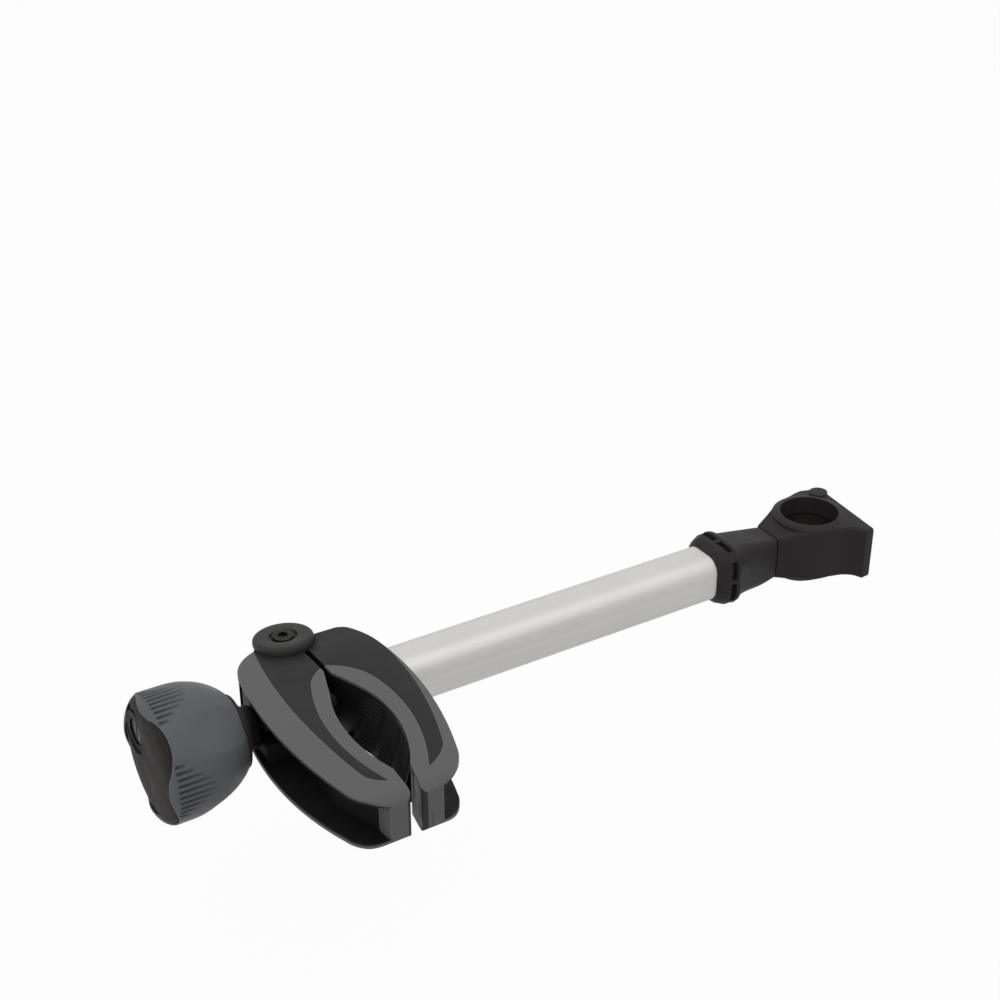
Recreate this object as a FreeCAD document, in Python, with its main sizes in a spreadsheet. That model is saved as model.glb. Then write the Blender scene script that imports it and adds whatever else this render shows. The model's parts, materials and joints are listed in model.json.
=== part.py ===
import FreeCAD, Part
import math
import operator
import os
import Sketcher

# Frame-holding arm of a hitch bike carrier: a square tube with a clamp for the carrier's
# upright post at one end and a pair of hinged jaws for the bicycle's frame at the other.
# The origin is on the axis of the post's bore, at the height of the tube's axis. The jaws lie
# towards -X, the hinge of the jaws towards +Y, and the post runs along Z.

doc = FreeCAD.newDocument("BikeArm")
sheet = doc.addObject("Spreadsheet::Sheet", "Sizes")
V = FreeCAD.Vector
sheet_rows = []


class Dim:
    """A size together with the formula that the document keeps for it."""

    def __init__(self, value, text):
        self.value = float(value)
        self.text = text

    def joined(self, other, sign, work):
        other = dim(other)
        return Dim(work(self.value, other.value), f"({self.text} {sign} {other.text})")

    def __add__(self, other):
        return self.joined(other, "+", operator.add)

    def __radd__(self, other):
        return dim(other).joined(self, "+", operator.add)

    def __sub__(self, other):
        return self.joined(other, "-", operator.sub)

    def __rsub__(self, other):
        return dim(other).joined(self, "-", operator.sub)

    def __mul__(self, other):
        return self.joined(other, "*", operator.mul)

    def __rmul__(self, other):
        return dim(other).joined(self, "*", operator.mul)

    def __truediv__(self, other):
        return self.joined(other, "/", operator.truediv)

    def __neg__(self):
        return Dim(-self.value, f"(0 - {self.text})")


def dim(value):
    """Wrap a plain number, and leave a size as it is."""
    if isinstance(value, Dim):
        return value
    return Dim(value, f"({value})" if value < 0 else f"{value}")


def sine(angle):
    """Sine of an angle in degrees."""
    return Dim(math.sin(math.radians(angle.value)), f"sin({angle.text} * 1 deg)")


def cosine(angle):
    """Cosine of an angle in degrees."""
    return Dim(math.cos(math.radians(angle.value)), f"cos({angle.text} * 1 deg)")


def root(value):
    """Square root."""
    return Dim(math.sqrt(value.value), f"sqrt({value.text})")


def size(alias, value):
    """Write one driving dimension into the sheet and return it."""
    sheet_rows.append(alias)
    row = len(sheet_rows)
    sheet.set(f"A{row}", alias)
    sheet.set(f"B{row}", str(value))
    sheet.setAlias(f"B{row}", alias)
    return Dim(value, f"Sizes.{alias}")


# Post clamp
post_bore = size("post_bore_radius", 17.5)
post_half = size("post_block_half_height", 16.5)
lip_height = size("bore_lip_height", 1.5)
lip_width = size("bore_lip_width", 4.6)
lip_crest = size("bore_lip_crest_width", 1.2)
block_end = size("block_end_wall", 5.3)
block_side = size("block_side_wall", 6.0)
neck_seam = size("neck_seam_distance", 31.0)
neck_half_width = size("neck_half_width", 10.0)
neck_half_height = size("neck_half_height", 12.3)
neck_slope = size("neck_slope_length", 19.0)
lug_reach = size("side_lug_reach", 35.2)
lug_width = size("side_lug_width", 7.6)
lug_inset = size("side_lug_inset", 2.4)
lug_hollow = size("side_lug_hollow_radius", 14.0)
boss_radius = size("corner_boss_radius", 5.5)
boss_x = size("corner_boss_x", 21.5)
boss_y = size("corner_boss_y", 16.5)
boss_rise = size("corner_boss_rise", 1.0)
pad_thickness = size("bore_pad_thickness", 1.5)
pad_height = size("bore_pad_height", 6.0)
pad_half_angle = size("bore_pad_half_angle", 55.0)
block_edge = size("post_block_edge_radius", 2.0)

# Draw mechanism
rod_radius = size("rod_radius", 4.0)
rod_clearance = size("rod_clearance", 0.3)
draw_travel = size("draw_travel", 1.5)
band_thickness = size("band_thickness", 1.6)
band_half = size("band_half_height", 6.0)
band_inset = size("band_inset", 0.3)
band_angle = size("band_leaving_angle", 117.0)
band_clearance = size("band_clearance", 0.3)
crosshead_front = size("crosshead_front", 19.8)
crosshead_length = size("crosshead_length", 7.2)
rivet_radius = size("rivet_radius", 1.5)

# Swivel between the post clamp and the arm
spigot_radius = size("spigot_radius", 6.5)
spigot_length = size("spigot_length", 14.0)
bush_wall = size("bush_wall", 1.5)
running_gap = size("running_gap", 0.05)
washer_thickness = size("washer_thickness", 0.8)
face_gap = size("face_gap", 0.3)
clip_thickness = size("clip_thickness", 1.2)
clip_depth = size("clip_groove_depth", 1.0)
clip_height = size("clip_height", 2.2)

# Collar
collar_reach = size("collar_reach", 80.0)
skirt_length = size("collar_skirt_length", 7.5)
skirt_step = size("collar_skirt_step_length", 3.0)
collar_gap = size("collar_slot_length", 4.3)
flange_length = size("collar_flange_length", 3.0)
flange_edge = size("collar_flange_edge", 0.9)
shoulder_length = size("collar_shoulder_length", 2.7)
edge_wall = size("collar_edge_wall", 0.5)
step_wall = size("collar_step_wall", 2.65)
skirt_wall = size("collar_skirt_wall", 4.35)
flange_wall = size("collar_flange_wall", 4.75)
sleeve_wall = size("collar_sleeve_wall", 1.0)
corner_share = size("collar_corner_share", 0.45)
rib_width = size("collar_rib_width", 2.4)
slot_reach = size("collar_slot_reach", 13.0)
socket_depth = size("tube_socket_depth", 14.0)

# Tube
tube_width = size("tube_width", 28.5)
tube_corner = size("tube_corner_radius", 9.0)
tube_wall = size("tube_wall", 2.2)
guide_length = size("rod_guide_length", 8.0)
guide_inset = size("rod_guide_inset", 34.0)
screw_radius = size("tube_screw_radius", 2.0)

# Jaws, in plan
arm_reach = size("arm_reach", 328.5)
hinge_offset = size("hinge_offset", 41.5)
jaw_reach = size("jaw_reach", 105.0)
jaw_slit = size("jaw_slit", 3.0)
slit_offset = size("slit_offset", 5.8)
tip_gap = size("tip_gap", 6.0)
outer_width = size("outer_jaw_width", 46.5)
inner_width = size("fixed_jaw_width", 36.7)
jaw_socket = size("tube_depth_in_jaw", 9.5)
outer_back_bow = size("outer_jaw_bow_radius", 216.0)
inner_back_bow = size("fixed_jaw_bow_radius", 247.0)
outer_leaf_bow = size("outer_leaf_bow_radius", 86.5)
inner_leaf_bow = size("fixed_leaf_bow_radius", 80.7)
leaf_top = size("leaf_top_offset", 2.0)
leaf_knee = size("leaf_knee_distance", 19.0)
outer_knee = size("outer_knee_depth", 6.8)
inner_knee = size("fixed_knee_depth", 6.2)
leaf_end = size("leaf_end_inset", 17.5)
outer_rim = size("outer_rim_width", 15.0)
thin_rim = size("thin_rim_width", 2.2)
tip_wall = size("tip_wall_width", 11.5)
web_outer = size("outer_web_offset", 22.5)
web_inner = size("fixed_web_offset", 32.5)
tip_block = size("tip_block_length", 13.0)

# Jaws, in height
crown_half = size("jaw_crown_half_height", 17.8)
crown_radius = size("jaw_crown_radius", 780.0)
crown_middle = size("jaw_crown_middle", 28.0)
plate = size("jaw_plate_thickness", 2.8)
trim_skin = size("jaw_trim_thickness", 1.6)
jaw_boss_half = size("jaw_boss_half_width", 14.0)
jaw_boss_face = size("jaw_boss_face", 36.5)
rubber = size("jaw_pad_thickness", 3.0)
rubber_recess = size("jaw_pad_recess", 1.0)
rubber_near_tip = size("jaw_pad_distance_from_tip", 29.0)
rubber_near_hinge = size("jaw_pad_end", 19.0)
rubber_edge = size("jaw_pad_edge_gap", 2.2)
rubber_fit = size("jaw_pad_fit", 0.1)

# Hinge
swing_limit = size("jaw_swing_limit", 30.0)
bolt_radius = size("hinge_bolt_radius", 4.0)
hinge_bush_wall = size("hinge_bush_wall", 1.5)
knuckle_radius = size("knuckle_radius", 9.0)
knuckle_half = size("knuckle_half_height", 10.2)
ear_radius = size("hinge_ear_radius", 6.9)
cap_radius = size("hinge_cap_radius", 16.5)
cap_seat = size("hinge_cap_seat_height", 14.3)
cap_height = size("hinge_cap_height", 5.8)
cap_edge = size("hinge_cap_edge_radius", 4.2)
cap_recess = size("hinge_cap_recess_radius", 7.6)
cap_floor = size("hinge_cap_floor", 2.4)
head_radius = size("bolt_head_radius", 5.8)
head_height = size("bolt_head_height", 2.2)
hex_flat = size("hex_socket_half_flat", 2.5)

# Tightening knob
seat_radius = size("seat_radius", 11.5)
seat_thickness = size("seat_thickness", 4.6)
thrust_thickness = size("thrust_washer_thickness", 1.4)
back_radius = size("knob_back_radius", 19.6)
back_thickness = size("knob_back_thickness", 5.0)
back_flange = size("knob_back_flange_thickness", 1.5)
back_hub = size("knob_back_hub_radius", 13.0)
knob_radius = size("knob_radius", 34.2)
knob_length = size("knob_length", 47.0)
knob_rise = size("knob_rise_length", 27.5)
knob_bulge = size("knob_bulge_radius", 34.5)
knob_corner = size("knob_front_corner_radius", 6.0)
knob_tail = size("knob_tail_wall", 1.9)
core_radius = size("knob_core_radius", 18.6)
rim_wall = size("knob_rim_wall", 1.4)
rim_edge = size("knob_rim_edge", 0.3)
front_disc = size("knob_front_disc_thickness", 9.0)
front_wall = size("knob_front_wall", 2.5)
face_chamfer = size("knob_face_chamfer", 0.7)
facet_back = size("knob_facet_back", 19.0)
facet_front = size("knob_facet_front", 33.9)
facet_start = size("knob_facet_start", 11.5)
facet_bow = size("knob_facet_bow_radius", 51.0)
scoop_radius = size("knob_scoop_radius", 27.0)
scoop_depth = size("knob_scoop_depth", 5.0)
nut_radius = size("nut_radius", 9.0)
nut_length = size("nut_length", 12.0)
nut_flange = size("nut_flange_radius", 14.0)
nut_flange_thickness = size("nut_flange_thickness", 2.5)
clutch_radius = size("clutch_radius", 16.5)
clutch_thickness = size("clutch_thickness", 3.0)
spring_thickness = size("spring_washer_thickness", 1.0)
lock_radius = size("lock_radius", 11.2)
lock_depth = size("lock_depth", 12.0)
lock_offset = size("lock_offset", 17.3)
lock_angle = size("lock_angle", 150.0)
lock_wall = size("lock_wall", 4.0)
lock_inset = size("lock_inset", 1.2)
key_width = size("key_slot_width", 1.6)
key_height = size("key_slot_height", 8.0)

doc.recompute()

PLANE_NORMAL_SIGN = {"XY": 1, "XZ": -1, "YZ": 1}
FAR = 60.0


def origin_feature(body, role):
    """One of the planes or axes of a body's own origin."""
    return [item for item in body.Origin.OriginFeatures if item.Role == role][0]


def new_body(name):
    """A body whose label is the name of its sub-part."""
    body = doc.addObject("PartDesign::Body", name)
    body.Label = name
    return body


def bound(target, name, value):
    """Tie a property to its formula."""
    target.setExpression(name, dim(value).text)


def arc_through(start, end, radius, left):
    """Arc from start to end of less than half a turn, turning left or right."""
    chord = end - start
    half = chord.Length / 2
    across = V(-chord.y, chord.x, 0).normalize()
    lift = math.sqrt(max(radius * radius - half * half, 0.0))
    centre = (start + end) * 0.5 + across * (lift if left else -lift)
    first, last = (start, end) if left else (end, start)
    turn_first = math.atan2(first.y - centre.y, first.x - centre.x)
    turn_last = math.atan2(last.y - centre.y, last.x - centre.x)
    if turn_last < turn_first:
        turn_last += 2 * math.pi
    return Part.ArcOfCircle(Part.Circle(centre, V(0, 0, 1), radius), turn_first, turn_last)


def sketch(body, name, plane, at, loops):
    """Closed loops on a plane of the body. A loop is a list of corners (x, y), and a corner
    (x, y, radius, turn) is reached along an arc that turns "left" or "right". A loop of the
    one entry (x, y, radius) is a circle. Every corner and radius keeps its formula."""
    drawing = body.newObject("Sketcher::SketchObject", name)
    drawing.AttachmentSupport = [(origin_feature(body, plane + "_Plane"), "")]
    drawing.MapMode = "FlatFace"
    bound(drawing, "AttachmentOffset.Base.z", dim(at) * PLANE_NORMAL_SIGN[plane])
    formulas = []

    def constrain(kind, value, *where):
        drawing.addConstraint(Sketcher.Constraint(kind, *where, dim(value).value))
        formulas.append((drawing.ConstraintCount - 1, dim(value).text))

    def place(index, end, x, y):
        for kind, value, axis in (("DistanceX", x, -2), ("DistanceY", y, -1)):
            if abs(dim(value).value) < 1e-9:
                drawing.addConstraint(Sketcher.Constraint("PointOnObject", index, end, axis))
            else:
                constrain(kind, value, -1, 1, index, end)

    for loop in loops:
        if len(loop) == 1:
            x, y, radius = [dim(value) for value in loop[0]]
            circle = Part.Circle(V(x.value, y.value, 0), V(0, 0, 1), radius.value)
            index = drawing.addGeometry(circle, False)
            place(index, 3, x, y)
            constrain("Radius", radius, index)
            continue
        ends = []
        for number, corner in enumerate(loop):
            before = loop[number - 1]
            start = V(dim(before[0]).value, dim(before[1]).value, 0)
            end = V(dim(corner[0]).value, dim(corner[1]).value, 0)
            if len(corner) == 2:
                index = drawing.addGeometry(Part.LineSegment(start, end), False)
                ends.append((index, 1, 2))
                continue
            left = corner[3] == "left"
            index = drawing.addGeometry(arc_through(start, end, dim(corner[2]).value, left), False)
            ends.append((index, 1, 2) if left else (index, 2, 1))
        for number, corner in enumerate(loop):
            index, start_end, far_end = ends[number]
            place(index, far_end, corner[0], corner[1])
            following = ends[(number + 1) % len(loop)]
            drawing.addConstraint(
                Sketcher.Constraint("Coincident", index, far_end, following[0], following[1]))
            if len(corner) == 4:
                constrain("Radius", corner[2], index)
    for index, text in formulas:
        drawing.setExpression(f"Constraints[{index}]", text)
    return drawing


def prism(body, name, plane, low, high, loops, cut=False):
    """Extrude loops between two places along the plane's own axis, or cut them away."""
    at = high if plane == "XZ" else low
    drawing = sketch(body, name + "_sketch", plane, at, loops)
    volume = body.Shape.Volume if cut else 0
    feature = body.newObject("PartDesign::Pocket" if cut else "PartDesign::Pad", name)
    feature.Profile = drawing
    bound(feature, "Length", dim(high) - dim(low))
    feature.Reversed = cut
    body.Tip = feature
    doc.recompute()
    if cut and body.Shape.Volume > volume - 1e-6:
        raise ValueError(f"{name} cuts nothing")
    return feature


def turned(body, name, loops, cut=False, axis="X_Axis"):
    """Revolve loops, drawn in the plane of X and Z, about an axis of the body."""
    drawing = sketch(body, name + "_sketch", "XZ", 0, loops)
    feature = body.newObject("PartDesign::Groove" if cut else "PartDesign::Revolution", name)
    feature.Profile = drawing
    feature.ReferenceAxis = (origin_feature(body, axis), [""])
    feature.Angle = 360
    body.Tip = feature
    doc.recompute()
    return feature


def rounded(body, name, radius, chosen):
    """Fillet the edges of the body's last feature that a test picks."""
    base = body.Tip
    picked = [f"Edge{number + 1}" for number, edge in enumerate(base.Shape.Edges) if chosen(edge)]
    if not picked:
        raise ValueError(f"{name} finds no edge")
    feature = body.newObject("PartDesign::Fillet", name)
    feature.Base = (base, picked)
    bound(feature, "Radius", radius)
    body.Tip = feature
    doc.recompute()
    if "Invalid" in feature.State:
        raise ValueError(f"{name} cannot be rounded")
    return feature


def lies_flat(edge):
    """Whether an edge runs more along the plan than up."""
    box = edge.BoundBox
    return box.ZLength < max(box.XLength, box.YLength)


def edge_height(edge):
    """How far the middle of an edge is above or below the axis."""
    box = edge.BoundBox
    return abs(box.ZMin + box.ZMax) / 2


def at_hinge(body):
    """Place a body that is drawn about its own axis on the hinge of the jaws."""
    bound(body, "Placement.Base.x", hinge_x)
    bound(body, "Placement.Base.y", hinge_y)


def less(name, base, tools):
    """What is left of a base after cutting the tools away."""
    for number, tool in enumerate(tools):
        last = number == len(tools) - 1
        result = doc.addObject("Part::Cut", name if last else f"{name}_stage{number + 1}")
        result.Base = base
        result.Tool = tool
        base = result
    base.Label = name
    doc.recompute()
    return base


def together(name, pieces):
    """Several shapes joined into one."""
    result = doc.addObject("Part::MultiFuse", name)
    result.Shapes = pieces
    result.Label = name
    doc.recompute()
    return result


def rectangle(x_low, x_high, y_low, y_high):
    """Corners of an upright rectangle."""
    return [(x_low, y_low), (x_high, y_low), (x_high, y_high), (x_low, y_high)]


def round_square(half, radius, half_height=None):
    """A square or rectangle about the axis with quarter-round corners."""
    tall = half if half_height is None else half_height
    return [
        (half, -(tall - radius), radius, "left"),
        (half, tall - radius),
        (half - radius, tall, radius, "left"),
        (-(half - radius), tall),
        (-half, tall - radius, radius, "left"),
        (-half, -(tall - radius)),
        (-(half - radius), -tall, radius, "left"),
        (half - radius, -tall),
    ]


def mirrored(loop):
    """The same outline on the other side of the sketch's level axis."""
    turns = {"left": "right", "right": "left"}
    result = []
    for x, y, *arc in loop:
        result.append((x, -dim(y), arc[0], turns[arc[1]]) if arc else (x, -dim(y)))
    return result


hinge_x = -arm_reach
hinge_y = hinge_offset
tube_half = tube_width / 2
jaws_reach = outer_width + inner_width
outer_far = hinge_x - outer_width * 1.5
fixed_far = hinge_x + inner_width * 2


# The block that holds the post, with the spigot that the arm swivels on.

def post_block():
    """Housing round the post: bore, raised lip, side lug, corner boss, neck and spigot."""
    end_x = post_bore + block_end
    near = post_bore + block_side
    slant = boss_x + boss_radius - end_x
    lug_x = end_x - lug_inset
    body = new_body("post_block")
    plan = [
        (-neck_seam, -neck_half_width),
        (-(post_bore * 0.46), -(near * 0.915)),
        (post_bore * 0.29, -(near + 1.6)),
        (lug_x - lug_width, -(lug_reach - 4.6), lug_hollow, "right"),
        (lug_x - lug_width * 0.75, -lug_reach),
        (lug_x, -(lug_reach - 0.6)),
        (lug_x + 1.2, -(lug_reach - 2.0)),
        (boss_x + boss_radius, boss_y),
        (boss_x, boss_y + boss_radius, boss_radius, "left"),
        (boss_x * 0.64, boss_y + boss_radius + 2.4),
        (post_bore * 0.25, near * 0.965, 40, "left"),
        (-(post_bore * 0.38), near * 0.865, 60, "left"),
        (-(post_bore * 1.27), neck_half_width + 3.4),
        (-neck_seam, neck_half_width),
    ]
    prism(body, "block", "XY", -post_half, post_half, [plan])
    slope_end = neck_seam - neck_slope
    for name, side in (("top_slope", 1), ("bottom_slope", -1)):
        wedge = [
            (-(neck_seam + 1), neck_half_height * side),
            (-neck_seam, neck_half_height * side),
            (-slope_end, post_half * side),
            (-slope_end, (post_half + 6) * side),
            (-(neck_seam + 1), (post_half + 6) * side),
        ]
        prism(body, name, "XZ", -FAR, FAR, [wedge], cut=True)
    rounded(body, "block_edges", block_edge, on_near_rim)
    rise = post_half + boss_rise
    prism(body, "corner_boss", "XY", -rise, rise, [[(boss_x, boss_y, boss_radius)]])
    lip = post_half + lip_height
    cone = [
        (0, -lip),
        (post_bore + lip_crest, -lip),
        (post_bore + lip_width, -post_half),
        (post_bore + lip_width, post_half),
        (post_bore + lip_crest, lip),
        (0, lip),
    ]
    turned(body, "lip", [cone], axis="Z_Axis")
    prism(body, "bore", "XY", -FAR, FAR, [[(0, 0, post_bore)]], cut=True)
    prism(body, "band_room", "XY", -(band_half + 0.8), band_half + 0.8, [band_room_outline()], cut=True)
    low, high = pad_span()
    for name, side in (("pad_seat_top", 1), ("pad_seat_bottom", -1)):
        ends = (low, high) if side > 0 else (-high, -low)
        outline = pad_outline(post_bore + pad_thickness, post_bore - 1)
        prism(body, name, "XY", ends[0], ends[1], [outline], cut=True)
    spigot = [[(0, 0, spigot_radius)]]
    prism(body, "spigot", "YZ", -(neck_seam + spigot_length), -(neck_seam - 1.5), spigot)
    passage = [[(0, 0, rod_radius + rod_clearance)]]
    prism(body, "passage", "YZ", -FAR, -(neck_seam - 4), passage, cut=True)
    groove_high, groove_low = clip_place()
    ring = [[(0, 0, spigot_radius + 1)], [(0, 0, spigot_radius - clip_depth)]]
    prism(body, "clip_groove", "YZ", groove_low, groove_high, ring, cut=True)
    return body


def on_near_rim(edge):
    """Whether an edge bounds the block's top or bottom from the neck round the near side to the
    end face."""
    box = edge.BoundBox
    across_block = box.XLength < 0.01
    far_side = box.YMin > neck_half_width.value - 0.01
    high = edge_height(edge) > neck_half_height.value - 0.01
    return lies_flat(edge) and high and not across_block and not far_side


def band_line(radius, x):
    """Height above the axis, at x, of the straight run that leaves a circle of that radius at
    the band's leaving angle."""
    return (radius - x * cosine(band_angle)) / sine(band_angle)


def band_room_outline():
    """Teardrop room for the band, the crosshead and their travel."""
    radius = post_bore + band_inset + band_thickness + band_clearance
    back = -(crosshead_front + crosshead_length + draw_travel + band_clearance)
    leave_x = radius * cosine(band_angle) - draw_travel
    leave_y = radius * sine(band_angle)
    back_y = band_line(radius, back + draw_travel)
    return [
        (back, -back_y),
        (leave_x, -leave_y),
        (-draw_travel, -radius, radius, "left"),
        (0, -radius),
        (radius, 0, radius, "left"),
        (0, radius, radius, "left"),
        (-draw_travel, radius),
        (leave_x, leave_y, radius, "left"),
        (back, back_y),
    ]


def teardrop(radius, back):
    """Circle on the +X side, with straight runs that close in towards a flat at the back."""
    leave_x = radius * cosine(band_angle)
    leave_y = radius * sine(band_angle)
    return [
        (back, -band_line(radius, back)),
        (leave_x, -leave_y),
        (radius, 0, radius, "left"),
        (leave_x, leave_y, radius, "left"),
        (back, band_line(radius, back)),
    ]


def pad_span():
    """Heights between which a friction pad lies in the upper half of the bore."""
    low = band_half + 2
    return low, low + pad_height


def pad_outline(outer, inner):
    """Sector of a ring on the -X side of the bore."""
    across = sine(pad_half_angle)
    along = cosine(pad_half_angle)
    return [
        (-(outer * along), outer * across),
        (-outer, 0, outer, "left"),
        (-(outer * along), -(outer * across), outer, "left"),
        (-(inner * along), -(inner * across)),
        (-inner, 0, inner, "right"),
        (-(inner * along), inner * across, inner, "right"),
    ]


def bore_pad(name, side):
    """Rubber-faced friction pad in its seat above or below the band."""
    low, high = pad_span()
    ends = (low, high) if side > 0 else (-high, -low)
    body = new_body(name)
    prism(body, "pad", "XY", ends[0], ends[1], [pad_outline(post_bore + pad_thickness, post_bore)])
    return body


def clip_place():
    """Near and far faces of the groove that holds the arm on the spigot."""
    high = -(neck_seam + spigot_length - 2.6)
    return high, high - clip_thickness


def retaining_clip():
    """Spring clip in the groove at the spigot's end."""
    high, low = clip_place()
    body = new_body("retaining_clip")
    inner = spigot_radius - clip_depth
    prism(body, "ring", "YZ", low, high, [[(0, 0, inner + clip_height)], [(0, 0, inner)]])
    opening = rectangle(-(inner * 0.5), inner * 0.5, 0, inner + clip_height + 1)
    prism(body, "mouth", "YZ", low, high, [opening], cut=True)
    return body


def swivel_washer():
    """Thin disc in the seam between the neck and the collar."""
    body = new_body("swivel_washer")
    outline = [[(0, 0, neck_half_width - 0.6)], [(0, 0, spigot_radius + running_gap)]]
    prism(body, "disc", "YZ", -(neck_seam + washer_thickness), -neck_seam, outline)
    return body


# The rod and what it pulls.

def draw_rod():
    """Tie rod from the crosshead, through the tube and the jaws, to the knob."""
    body = new_body("draw_rod")
    back = -(crosshead_front + 1.5)
    prism(body, "rod", "YZ", -rod_end(), back, [[(0, 0, rod_radius)]])
    return body


def crosshead():
    """Wedge-sided block that joins the rod to the band."""
    body = new_body("crosshead_blank")
    front = -crosshead_front
    back = front - crosshead_length
    inner = post_bore + band_inset
    plan = [
        (front, band_line(inner, front)),
        (back, band_line(inner, back)),
        (back, -band_line(inner, back)),
        (front, -band_line(inner, front)),
    ]
    prism(body, "block", "XY", -band_half, band_half, [plan])
    prism(body, "bore", "YZ", back - 1, front - 1.5, [[(0, 0, rod_radius)]], cut=True)
    return body


def stirrup_band():
    """Steel strap round the far side of the post, drawn towards the tube to grip it."""
    body = new_body("stirrup_band_blank")
    inner = post_bore + band_inset
    back = -(crosshead_front + crosshead_length)
    outside = teardrop(inner + band_thickness, back)
    prism(body, "band", "XY", -band_half, band_half, [outside])
    prism(body, "inside", "XY", -band_half, band_half, [teardrop(inner, back - 1)], cut=True)
    return body


def rivet(name, side):
    """Rivet through one end of the band into the crosshead."""
    body = new_body(name)
    middle = -(crosshead_front + crosshead_length / 2)
    low = rod_radius + 0.8
    high = band_line(post_bore + band_inset + band_thickness, middle - rivet_radius)
    ends = (low, high) if side > 0 else (-high, -low)
    prism(body, "shank", "XZ", ends[0], ends[1], [[(middle, 0, rivet_radius)]])
    return body


# The arm: collar, tube and the fixed jaw.

def collar_face():
    """Distance of the collar's end face from the post's axis."""
    return neck_seam + washer_thickness + face_gap


def collar_section(wall):
    """Outline of the collar with a wall of that thickness over the tube."""
    return round_square(tube_half + wall, tube_corner + wall * corner_share)


def collar_sections():
    """Places along the tube, and the outlines there, from the skirt's edge to the neck."""
    start = -collar_reach
    slot = start + skirt_length
    flange = slot + collar_gap
    shoulder = flange + flange_length
    return [
        (start, collar_section(edge_wall)),
        (start + skirt_step, collar_section(step_wall)),
        (slot, collar_section(skirt_wall)),
        (flange, collar_section(skirt_wall)),
        (flange + flange_edge, collar_section(flange_wall)),
        (shoulder, collar_section(skirt_wall)),
        (shoulder + shoulder_length, collar_section(step_wall)),
        (-collar_face(), round_square(neck_half_width, 2.4, neck_half_height)),
    ]


def collar_slots():
    """The two open slots in each of the four faces, beside the face's rib."""
    near = rib_width / 2
    low = tube_half + sleeve_wall
    slots = []
    for side in (1, -1):
        for end in (1, -1):
            slots.append(rectangle(near * side, slot_reach * side, low * end, FAR * end))
            slots.append(rectangle(low * end, FAR * end, near * side, slot_reach * side))
    return slots


def collar():
    """Moulded collar between the tube and the swivel: flared skirt, open slots with a rib
    between them, a flange and a block that tapers to the neck."""
    body = new_body("collar_blank")
    face = -collar_face()
    outlines = []
    for number, (place, outline) in enumerate(collar_sections()):
        outlines.append(sketch(body, f"outline{number + 1}", "YZ", place, [outline]))
    form = body.newObject("PartDesign::AdditiveLoft", "form")
    form.Profile = outlines[0]
    form.Sections = outlines[1:]
    form.Ruled = True
    body.Tip = form
    doc.recompute()
    slot_start = skirt_length - collar_reach
    for number, outline in enumerate(collar_slots()):
        prism(body, f"slot{number + 1}", "YZ", slot_start, slot_start + collar_gap, [outline], cut=True)
    socket = round_square(tube_half, tube_corner)
    prism(body, "socket", "YZ", -FAR * 2, tube_near(), [socket], cut=True)
    room = spigot_radius + clip_height + 1.5
    prism(body, "clip_room", "YZ", tube_near() - 1, -bush_back(), [[(0, 0, room)]], cut=True)
    seat = spigot_radius + running_gap + bush_wall
    prism(body, "bush_seat", "YZ", -bush_back() - 1, face + 1, [[(0, 0, seat)]], cut=True)
    return body


def tube_near():
    """Place of the tube's end in the collar."""
    return -(collar_reach - socket_depth)


def tube_far():
    """Place of the tube's end in the fixed jaw."""
    return hinge_x + slit_offset + inner_width - jaw_socket


def bush_back():
    """Far face of the swivel bush."""
    return neck_seam + spigot_length - 2.6 - face_gap


def swivel_bush():
    """Plain bearing between the collar and the spigot."""
    body = new_body("swivel_bush")
    inner = spigot_radius + running_gap
    prism(body, "bush", "YZ", -bush_back(), -collar_face(),
          [[(0, 0, inner + bush_wall)], [(0, 0, inner)]])
    return body


def frame_tube():
    """Square tube with large corners, from the collar to the fixed jaw."""
    body = new_body("frame_tube_blank")
    inside = round_square(tube_half - tube_wall, tube_corner - tube_wall)
    prism(body, "tube", "YZ", tube_far(), tube_near(), [round_square(tube_half, tube_corner), inside])
    return body


def rod_guide(name, middle):
    """Plug inside the tube that keeps the rod on its axis."""
    body = new_body(name)
    outline = round_square(tube_half - tube_wall, tube_corner - tube_wall)
    half = guide_length / 2
    prism(body, "plug", "YZ", middle - half, middle + half,
          [outline, [(0, 0, rod_radius + rod_clearance)]])
    return body


def tube_screw(name, x, depth):
    """Countersunk screw from below, through the sleeve into the tube's wall."""
    body = new_body(name)
    low = -(tube_half + depth)
    high = -(tube_half - tube_wall)
    prism(body, "shank", "XY", low, high, [[(x, 0, screw_radius)]])
    return body


# The jaws share one crowned section: flat arcs above and below, highest at crown_middle.

def crown_cut(body, half, radius):
    """Cut a body off above and below the crown."""
    reach = jaw_reach - tip_block + cap_radius
    end = half - (radius - root(radius * radius - reach * reach))
    low = -(crown_middle + reach)
    high = reach - crown_middle
    top = [(low, end), (high, end, radius, "right"), (high, FAR), (low, FAR)]
    bottom = [(low, -end), (high, -end, radius, "left"), (high, -FAR), (low, -FAR)]
    for name, outline in (("crown_top", top), ("crown_bottom", bottom)):
        prism(body, name, "YZ", hinge_x - jaws_reach, hinge_x + jaws_reach, [outline], cut=True)


def crowned(name, plan, sink=0):
    """Prism of a plan outline between the crowned surfaces, sunk below them where asked."""
    body = new_body(name)
    prism(body, "plan", "XY", -30, 30, [plan])
    crown_cut(body, crown_half - sink, crown_radius - sink)
    return body


def flat_prism(name, plan, low, high):
    """Prism of a plan outline between two heights."""
    body = new_body(name)
    prism(body, "plan", "XY", low, high, [plan])
    return body


def outer_points():
    """Corner places that the outer jaw's outlines share."""
    slit_x = hinge_x + slit_offset - jaw_slit / 2
    tip_x = hinge_x - tip_gap / 2 + 0.2
    return slit_x, tip_x


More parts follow.
